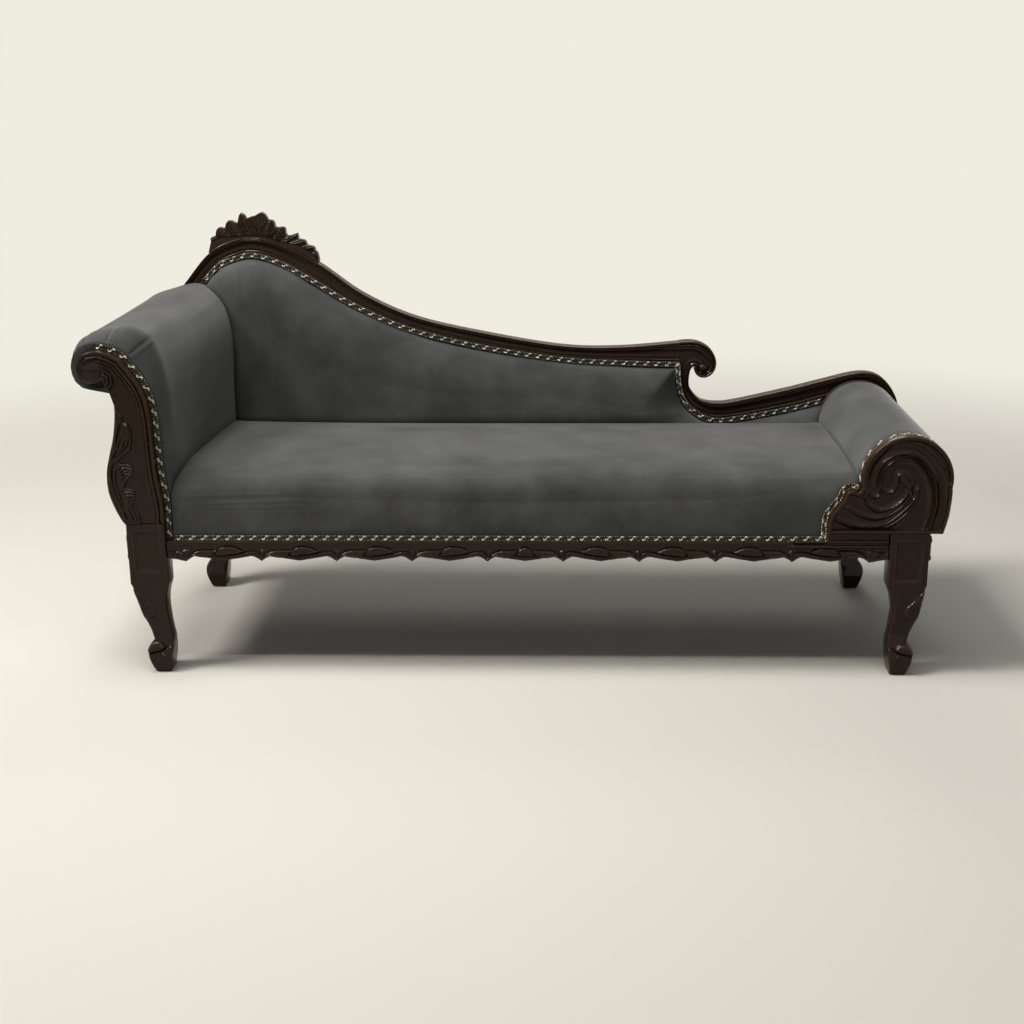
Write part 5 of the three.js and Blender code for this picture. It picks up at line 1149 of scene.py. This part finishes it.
def back_room(points):
    """Free over the front, above the seat, between the arm and the roll, inside the gimp."""
    gap = track(points[:, [0, 2]], back_seam)[0]
    free = np.minimum((gap - GIMP_LAND - 1) / 25, (points[:, 2] - 452) / 40)
    free = np.minimum(free, np.minimum((points[:, 0] + 690) / 60, (690 - points[:, 0]) / 30))
    return np.where(points[:, 1] < PAD_BACK - BACK_EDGE - 0.5, free, 0)


stuffed(back_pad, back_room, 5.0)
subdivided(back_pad)

SEAT_REAR = PAD_FRONT - 0.3
SEAT_FRONT, SEAT_FRONT_FOOT = 14.0, 296.3
SEAT_CREASE = 3.0  # space left for the fold between the seat and its neighbours
SEAT_LENGTH = 1480  # between the arm and the roll
SEAT_PROFILE = [
    [SEAT_FRONT, SEAT_FRONT_FOOT], [13.4, 322], [13, 345], [13.1, 366], [13.6, 384], [15.4, 400],
    [19.6, 413], [27.5, 423.5], [41, 432], [72, 439.5], [158, 445], [271, 447], [400, 445], [493, 441],
    [512, 437], [523, 431], [529.4, 422],
]
arm_low = {}  # lower part of the arm's surface at each depth already asked for


def seat_left(y, z):
    """Left end of the seat at a depth and height: the arm pad, or the leg's gimp in front of it."""
    if y < ARM_FRONT + 0.2:
        return -LEG_FACE + GIMP_LAND + 0.3
    key = round(y, 1)
    if key not in arm_low:
        outer = arm_surface(y)
        arm_low[key] = outer[: np.argmax(outer[:, 1] > 520)]
    low = arm_low[key]
    return float(np.interp(z, low[:, 1], low[:, 0])) + SEAT_CREASE


def seat_right(y, z):
    """Right end of the seat at a depth and height: the roll, or the volute panel in front of it."""
    if y < ARM_FRONT + 0.2:
        return float(np.interp(z, ogee[:36, 1], ogee[:36, 0])) - 0.6
    radius = float(roll_radius(np.array(y))) + 0.6
    drop = max(z - ROLL[1], radius * math.sin(math.radians(ROLL_END)))
    return ROLL[0] - math.sqrt(max(radius**2 - drop**2, 1.0)) - SEAT_CREASE


seat_y, seat_z = spline(SEAT_PROFILE, 6).T
rear_rows = [(SEAT_REAR, float(z)) for z in np.linspace(404, DECK, 7)]
under_rows = [(y, DECK) for y in np.linspace(SEAT_REAR, 30.0, 20)[1:]]
under_rows += [(30.0, SEAT_FRONT_FOOT), (22.0, SEAT_FRONT_FOOT)]
seat_ends = np.array([0, 1, 2.2, 4, 6.5, 10, 15, 22]) / SEAT_LENGTH
seat_rings = []
# Each ring is one section of the seat: its top falls a little at both ends, and its front corner is
# rounded off beside the arm.
for share in np.concatenate([seat_ends, np.linspace(0.02, 0.98, 176), 1 - seat_ends[::-1]]):
    drop = 7 * math.exp(-min(share, 1 - share) * SEAT_LENGTH / 3) - 7 * (1 - share) ** 6
    corner = 18 * math.exp(-share * SEAT_LENGTH / 45)
    height = seat_z - drop * np.clip((seat_z - 392) / 40, 0, 1) * np.clip(seat_y / 60, 0.4, 1)
    height -= corner * np.clip((seat_z - 335) / 95, 0, 1) * np.clip((124 - seat_y) / 110, 0, 1)
    ring = []
    for y, z in [*zip(seat_y, height), *rear_rows, *under_rows]:
        left, right = seat_left(y, z), seat_right(y, z)
        ring.append([left + share * (right - left), y, z])
    seat_rings.append(ring)
seat = covered("Seat_cushion_velvet", seat_rings, "seat_cushion")


def seat_room(points):
    """Free over the top and the front, away from the gimp, the arm, the roll and the back."""
    left = np.array([seat_left(float(y), float(z)) for _, y, z in points])
    right = np.array([seat_right(float(y), float(z)) for _, y, z in points])
    slope = 55 + 200 * np.clip((110 - points[:, 1]) / 70, 0, 1)
    ends = np.minimum((points[:, 0] - left - 3) / slope, (right - 3 - points[:, 0]) / 55)
    free = np.minimum(ends, (SEAT_REAR - 3 - points[:, 1]) / 45)
    low = np.where(points[:, 1] < 16, (points[:, 2] - 312) / 40, np.where(points[:, 2] > DECK + 20, 1, 0))
    return np.minimum(free, low)


stuffed(seat, seat_room, 5.0)
subdivided(seat)

# ---------------------------------------------------------------------------------------------
# Outside covers. Velvet panels blind tacked over the open backs of the back, the arm and the roll,
# with narrow hems and facings where the frame would show between them.

CLOTH = 1.2  # velvet with the lining under it


def cover(name, line, near, far, rests_on, *nodes):
    """A thin cloth panel along an upright line, stretched between two depths."""
    line = spaced(np.asarray(line, float), 12)
    outer = line - leftward(np.gradient(line, axis=0)) * CLOTH
    rings = [np.vstack([at_depth(line, y), at_depth(outer[::-1], y)]) for y in np.linspace(near, far, 40)]
    made = covered(name, rings, *nodes, sharp=50)


arm_outside = [[-855.1, 335.3], [-855.1, 610]]
cover("Outside_arm_velvet", arm_outside, ARM_FRONT, ARM_REAR, "head_arm_front_board", "outside_arm_panel")
roll_outside = [[845.6, 316.6], [862, 345], [877, 385], [883.2, 421]]
cover("Outside_roll_velvet", roll_outside, ARM_FRONT, ARM_REAR, "roll_front_board", "outside_roll_panel")
cover("Back_end_velvet", [[-829.9, 335.6], [-829.9, 767.2]], 583.3, 616.2, "back_stile_head")
cover("Arm_hem_velvet", [[-848.8, 311.2], [-849.0, 335.2]], 50.8, 559.4, "head_side_rail")
cover("Roll_hem_velvet", [[848.2, 311.2], [848.6, 317], [851.2, 322.4]], 50.8, 559.4, "foot_side_rail")

# Cloth over the rear end of the arm, folded in along its edge.
rear_line = arm_surface(ARM_REAR)
rear_line = rear_line[(rear_line[:, 0] < -829.6) & (rear_line[:, 1] > 500)]
facing_low = [[-856.2, 612], [-856.2, 335.6], [-829.6, 335.6]]
facing = np.vstack([[[-829.6, rear_line[0, 1]]], rear_line, facing_low])
folded_in = facing + (np.array([-870.0, 600.0]) - facing) * 0.012
facing_rings = [at_depth(facing, 580.1), at_depth(facing, 581.8), at_depth(folded_in, 582.8)]
covered("Arm_rear_velvet", facing_rings, sharp=50)

# The panel over the open back of the couch, from under the seat rail up to the rails.
PANEL_FOOT = 257.0
panel_top = np.vstack([crest_inner, foot_inner[1:]])
panel_top = panel_top[(panel_top[:, 0] > -795) & (panel_top[:, 0] < 826)]
panel_x = np.linspace(-828, 860, 150)
top_z = np.interp(panel_x, np.maximum.accumulate(panel_top[:, 0]), panel_top[:, 1]) - 1.0
panel_rings = []
for x, z in zip(panel_x, top_z):
    rows = np.linspace(PANEL_FOOT, z, 40)
    bulge = 1.5 * np.sin(np.pi * (rows - PANEL_FOOT) / (z - PANEL_FOOT))
    plan = np.stack([np.full(40, x), rows], 1)
    panel_rings.append(np.vstack([at_depth(plan, 613.8), at_depth(plan, 616.4 + bulge)[::-1]]))
outside = covered("Outside_back_velvet", panel_rings, "outside_back_panel", sharp=50)

# ---------------------------------------------------------------------------------------------
# Gimp. A dark woven braid 12 mm wide, glued along every edge where the velvet meets the show wood,
# with a cord at each side, small knots of thread and a gold and silver S worked in every 26 mm.

GIMP_HALF = 6.0
# Across the braid, as a share of its half width, and height over the cloth.
BRAID_SECTION = [(-1, 0.1), (-0.96, 1.3), (-0.7, 1.9), (0, 1.6), (0.7, 1.9), (0.96, 1.3), (1, 0.1)]
S_PITCH, KNOT_PITCH = 26.0, 5.5
S_HALF = [[0, 0], [0.9, 1.4], [2.0, 3.0], [3.6, 4.0], [5.3, 3.7], [6.2, 2.3], [5.5, 0.8]]
S_LINE = spline([[-x, -z] for x, z in S_HALF[:0:-1]] + S_HALF, 3)
S_RISE = np.clip(1 - np.abs(np.abs(np.linspace(-1, 1, len(S_LINE))) - 0.55) / 0.45, 0, 1)


# Dull dark cotton with a relief at the size of its yarn; dull gold and brighter silver thread, broken
# into bright and dark turns.
braid_dark = fibrous("Dark_cotton_braid", "#0F0D09", "#2A261C", 700.0, 3.0, 0.6, 0.6, Roughness=0.8)
worn_metal = {"Roughness": 0.42, "Metallic": 0.75}
gold = fibrous("Antique_gold_thread", "#857650", "#CBBE96", 900.0, 2.0, 0.6, 0.5, **worn_metal)
silver = fibrous("Antique_silver_thread", "#A8A294", "#F0ECE0", 900.0, 2.0, 0.6, 0.5, **worn_metal)


def tube(line, radius, sides=6):
    """Points and faces of a round cord along a 3-D line."""
    ahead = np.gradient(line, axis=0)
    ahead /= np.maximum(np.linalg.norm(ahead, axis=1), 1e-9)[:, None]
    ref = np.where(np.abs(ahead[:, 1:2]) < 0.9, [[0, 1, 0]], [[0, 0, 1]])
    u = np.cross(ahead, ref)
    u /= np.linalg.norm(u, axis=1)[:, None]
    v = np.cross(ahead, u)
    radius = np.broadcast_to(np.asarray(radius, float), (len(line),))
    rings = np.stack([
        line + radius[:, None] * (u * math.cos(a) + v * math.sin(a))
        for a in np.linspace(0, 2 * math.pi, sides, endpoint=False)
    ], 1)
    return loft(rings)


def gimp(name, line, across, proud, node_name, worked=True):
    """A braid laid along a 3-D line, across and proud being unit vectors at each of its points."""
    step = np.linalg.norm(np.diff(line, axis=0), axis=1)
    keep = np.concatenate([[True], step > 1e-6])
    line, across, proud = line[keep], across[keep], proud[keep]
    upto = np.concatenate([[0], np.cumsum(np.linalg.norm(np.diff(line, axis=0), axis=1))])

    def spot(s, side, rise):
        s = np.asarray(s, float)
        find = lambda rows: np.stack([np.interp(s, upto, rows[:, k]) for k in range(3)], 1)
        side, rise = np.reshape(side, (-1, 1)), np.reshape(rise, (-1, 1))
        return find(line) + find(across) * side + find(proud) * rise

    total = upto[-1]
    s = np.linspace(0, total, max(8, int(total / 3)))
    parts = [loft(np.stack([spot(s, side * GIMP_HALF, rise) for side, rise in BRAID_SECTION], 1))]
    for side in (-1, 1):
        parts.append(tube(spot(s, side * (GIMP_HALF - 1.0), 1.9), 0.9))
    piece(name, *joined(parts), braid_dark, "gimp_braid", node_name, sharp=60)
    if not worked:
        return
    twists = {gold: [], silver: []}
    count = max(1, int(total / S_PITCH))
    for k in range(count):
        middle = (k + 0.5) * total / count
        for thread, lag in ((gold, -0.75), (silver, 0.75)):
            where, bend = S_LINE.T
            rise = 2.5 + 0.8 * S_RISE + 0.3 * lag
            radius = (1.1 if thread is silver else 0.8) * (0.5 + 0.5 * S_RISE)
            twists[thread].append(tube(spot(middle + where - lag, bend + lag * 0.7, rise), radius))
    for k in range(int(total / KNOT_PITCH)):
        for side in (-1, 1):
            middle = (k + 0.5 + 0.25 * side) * KNOT_PITCH + 0.8 * math.sin(k * 2.3 + side)
            run = middle + np.array([-1.0, 0, 1.0])
            thread = gold if (k + (side > 0)) % 3 else silver
            aside = side * (GIMP_HALF - 1.3) + np.array([-0.5, 0, 0.5])
            twists[thread].append(tube(spot(run, aside, [2.0, 2.9, 2.0]), [0.4, 1.0, 0.4], 5))
    for thread, label in ((gold, "gold"), (silver, "silver")):
        piece(f"{name}_{label}", *joined(twists[thread]), thread, "gimp_braid", sharp=60)


def upright_gimp(name, line, depth, node_name):
    """A gimp on an upright face towards the front, along a line in that face."""
    line = spaced(np.asarray(line, float), 3)
    side = leftward(np.gradient(line, axis=0))
    forward = np.tile([0.0, -1.0, 0.0], (len(line), 1))
    gimp(name, at_depth(line, depth), at_depth(side, 0.0), forward, node_name)


def beside(line, distance):
    """A line moved to its left."""
    return line + leftward(np.gradient(line, axis=0)) * distance


upright_gimp("Seat_front_gimp", [[-749, 302.2], [632, 302.2]], SEAT_FRONT, "seat_front_gimp")
arm_gimp_line = np.vstack([[[-766, 297]], arm_line[: int(len(arm_line) * 0.66)]])
upright_gimp("Arm_gimp", beside(spaced(arm_gimp_line, 4), -7), ARM_FRONT, "head_arm_gimp")
ogee_gimp = ogee[ogee[:, 1] > 300][:-2]
upright_gimp("Volute_gimp", beside(np.vstack([[[634.7, 297]], ogee_gimp]), 7), SEAT_FRONT, "volute_gimp")
back_gimp_line = beside(back_run, -7)
back_gimp_line = back_gimp_line[(back_gimp_line[:, 0] > -785) & (back_gimp_line[:, 0] < 711)]
upright_gimp("Back_gimp", back_gimp_line, PAD_BACK - BACK_EDGE, "back_gimp")
wrap = np.radians(np.linspace(190, ROLL_START, 120))
out = np.column_stack([np.cos(wrap), np.zeros(len(wrap)), np.sin(wrap)])
rearward = np.tile([0.0, 1.0, 0.0], (len(wrap), 1))
for label, depth in (("front", ARM_FRONT + 6.3), ("rear", ARM_REAR - 6.3)):
    line = np.array([ROLL[0], depth, ROLL[1]]) + out * ROLL_LAND
    gimp(f"Roll_{label}_gimp", line, rearward, out, f"roll_{label}_gimp", worked=label == "front")

# ---------------------------------------------------------------------------------------------
# Studio. A pale floor and backdrop, soft lamps and the camera at the height of a standing viewer.

studio, tree, shader = new_material("Pale_matt_studio_paper", Roughness=0.9)
place = node(tree, "TexCoord").outputs["Object"]
tooth = node(tree, "TexNoise", {"Vector": place, "Scale": 40.0, "Detail": 4.0})
paper = {"Factor": tooth.outputs["Fac"], 6: colour("#E2E0DA"), 7: colour("#E8E6E0")}
paper = node(tree, "Mix", paper, data_type="RGBA")
above = node(tree, "SeparateXYZ", {"Vector": place}).outputs["Z"]
rise = node(tree, "MapRange", {"Value": above, "From Min": 0.0, "From Max": 0.2})
swept = {"Factor": rise.outputs["Result"], 6: colour("#C0BEB8"), 7: paper.outputs[2]}
swept = node(tree, "Mix", swept, data_type="RGBA")
tree.links.new(swept.outputs[2], shader.inputs["Base Color"])
level_place = node(tree, "VectorMath", {0: place, 1: (1, 1, 0)}, operation="MULTIPLY")
reach = node(tree, "VectorMath", {0: level_place.outputs[0]}, operation="LENGTH").outputs["Value"]
far = {"Value": reach, "From Min": 1.5, "From Max": 3.8}
far = node(tree, "MapRange", far, interpolation_type="SMOOTHSTEP").outputs["Result"]
seen = node(tree, "LightPath").outputs["Is Camera Ray"]
shown = node(tree, "Math", {0: far, 1: seen}, operation="MULTIPLY")
glow = node(tree, "Emission", {"Color": colour("#EFECE0"), "Strength": 1.0})
blend = node(tree, "MixShader", {0: shown.outputs[0], 1: shader.outputs[0], 2: glow.outputs[0]})
tree.links.new(blend.outputs[0], tree.nodes["Material Output"].inputs["Surface"])
SWEEP_START, SWEEP_RADIUS = 4.0, 1.6  # where the paper begins to rise, and the radius of its bend
profile = [[-9.0, 0.0], [SWEEP_START, 0.0]]
for turn in np.linspace(0.1, math.pi / 2, 12):
    along, up = math.sin(turn) * SWEEP_RADIUS, SWEEP_RADIUS - math.cos(turn) * SWEEP_RADIUS
    profile.append([SWEEP_START + along, up])
profile.append([SWEEP_START + SWEEP_RADIUS, 8.0])
paper_mesh = bpy.data.meshes.new("Studio_sweep")
corners = [(x, y, z) for y, z in profile for x in (-9, 9)]
strips = [[2 * i, 2 * i + 1, 2 * i + 3, 2 * i + 2] for i in range(len(profile) - 1)]
paper_mesh.from_pydata(corners, [], strips)
paper_mesh.materials.append(studio)
paper_mesh.shade_smooth()
sweep = bpy.data.objects.new("Studio_sweep", paper_mesh)
bpy.context.collection.objects.link(sweep)


def lamp(name, spot, aim, wide, nap_with_painted_shade, power, code):
    """A soft oblong lamp that looks at a point, its width along X."""
    light = bpy.data.lights.new(name, "AREA")
    light.shape = "RECTANGLE"
    light.size, light.size_y, light.energy, light.color = wide, nap_with_painted_shade, power, colour(code)[:3]
    made = bpy.data.objects.new(name, light)
    made.location = spot
    made.rotation_euler = (Vector(aim) - Vector(spot)).to_track_quat("-Z", "Y").to_euler()
    bpy.context.collection.objects.link(made)


lamp("Key", (-3.9, -1.3, 4.8), (0.1, 0, 0.4), 1.5, 1.5, 258, "#FFFAF2")
lamp("Fill", (-0.4, -3.8, 2.2), (0, 0, 0.4), 2.0, 2.0, 3, "#FFF6EA")
lamp("Top", (-1.1, -0.3, 3.6), (0.4, 0, 0.4), 1.0, 1.0, 98, "#FFFDF8")
lamp("Strip", (0, -1.3, 3.1), (0, 0, 0.4), 3.6, 0.12, 24, "#FFFDF8")
lamp("Back", (0.6, 3.6, 3.4), (0, 0, 0.4), 1.6, 1.6, 40, "#FFFDF8")

world = bpy.data.worlds.new("Studio_air")
world.use_nodes = True
bpy.context.scene.world = world
tree = world.node_tree
sky = tree.nodes["Background"]
sky.inputs["Color"].default_value = colour("#F4F3EF")
path = node(tree, "LightPath").outputs
mirrored = {0: path["Is Glossy Ray"], 1: path["Is Transmission Ray"]}
mirrored = node(tree, "Math", mirrored, operation="MAXIMUM").outputs[0]
seen = node(tree, "Math", {0: path["Is Camera Ray"], 1: mirrored}, operation="MAXIMUM")
strength = node(tree, "MapRange", {"Value": seen.outputs[0], "To Min": 0.14, "To Max": 0.92})
tree.links.new(strength.outputs["Result"], sky.inputs["Strength"])

EYE = np.array([78.96, -3057.06, 1270.08])
PITCH, YAW, ROLL_TURN = math.radians(16.502), math.radians(-1.985), math.radians(-0.496)
FOCAL_SHARE = 1520 / 1024
ahead = Vector((math.sin(YAW) * math.cos(PITCH), math.cos(YAW) * math.cos(PITCH), -math.sin(PITCH)))
right = Vector((math.cos(YAW), -math.sin(YAW), 0))
up = right.cross(ahead)
level_right = right * math.cos(ROLL_TURN) + up * math.sin(ROLL_TURN)
level_up = up * math.cos(ROLL_TURN) - right * math.sin(ROLL_TURN)
camera_data = bpy.data.cameras.new("Camera")
camera_data.sensor_width = 36
camera_data.lens = FOCAL_SHARE * 36
camera = bpy.data.objects.new("Camera", camera_data)
turn = Matrix((level_right, level_up, -ahead)).transposed().to_4x4()
camera.matrix_world = Matrix.Translation(Vector(EYE * MM + origin)) @ turn
bpy.context.collection.objects.link(camera)
bpy.context.scene.camera = camera
bpy.context.scene.view_settings.view_transform = "Standard"
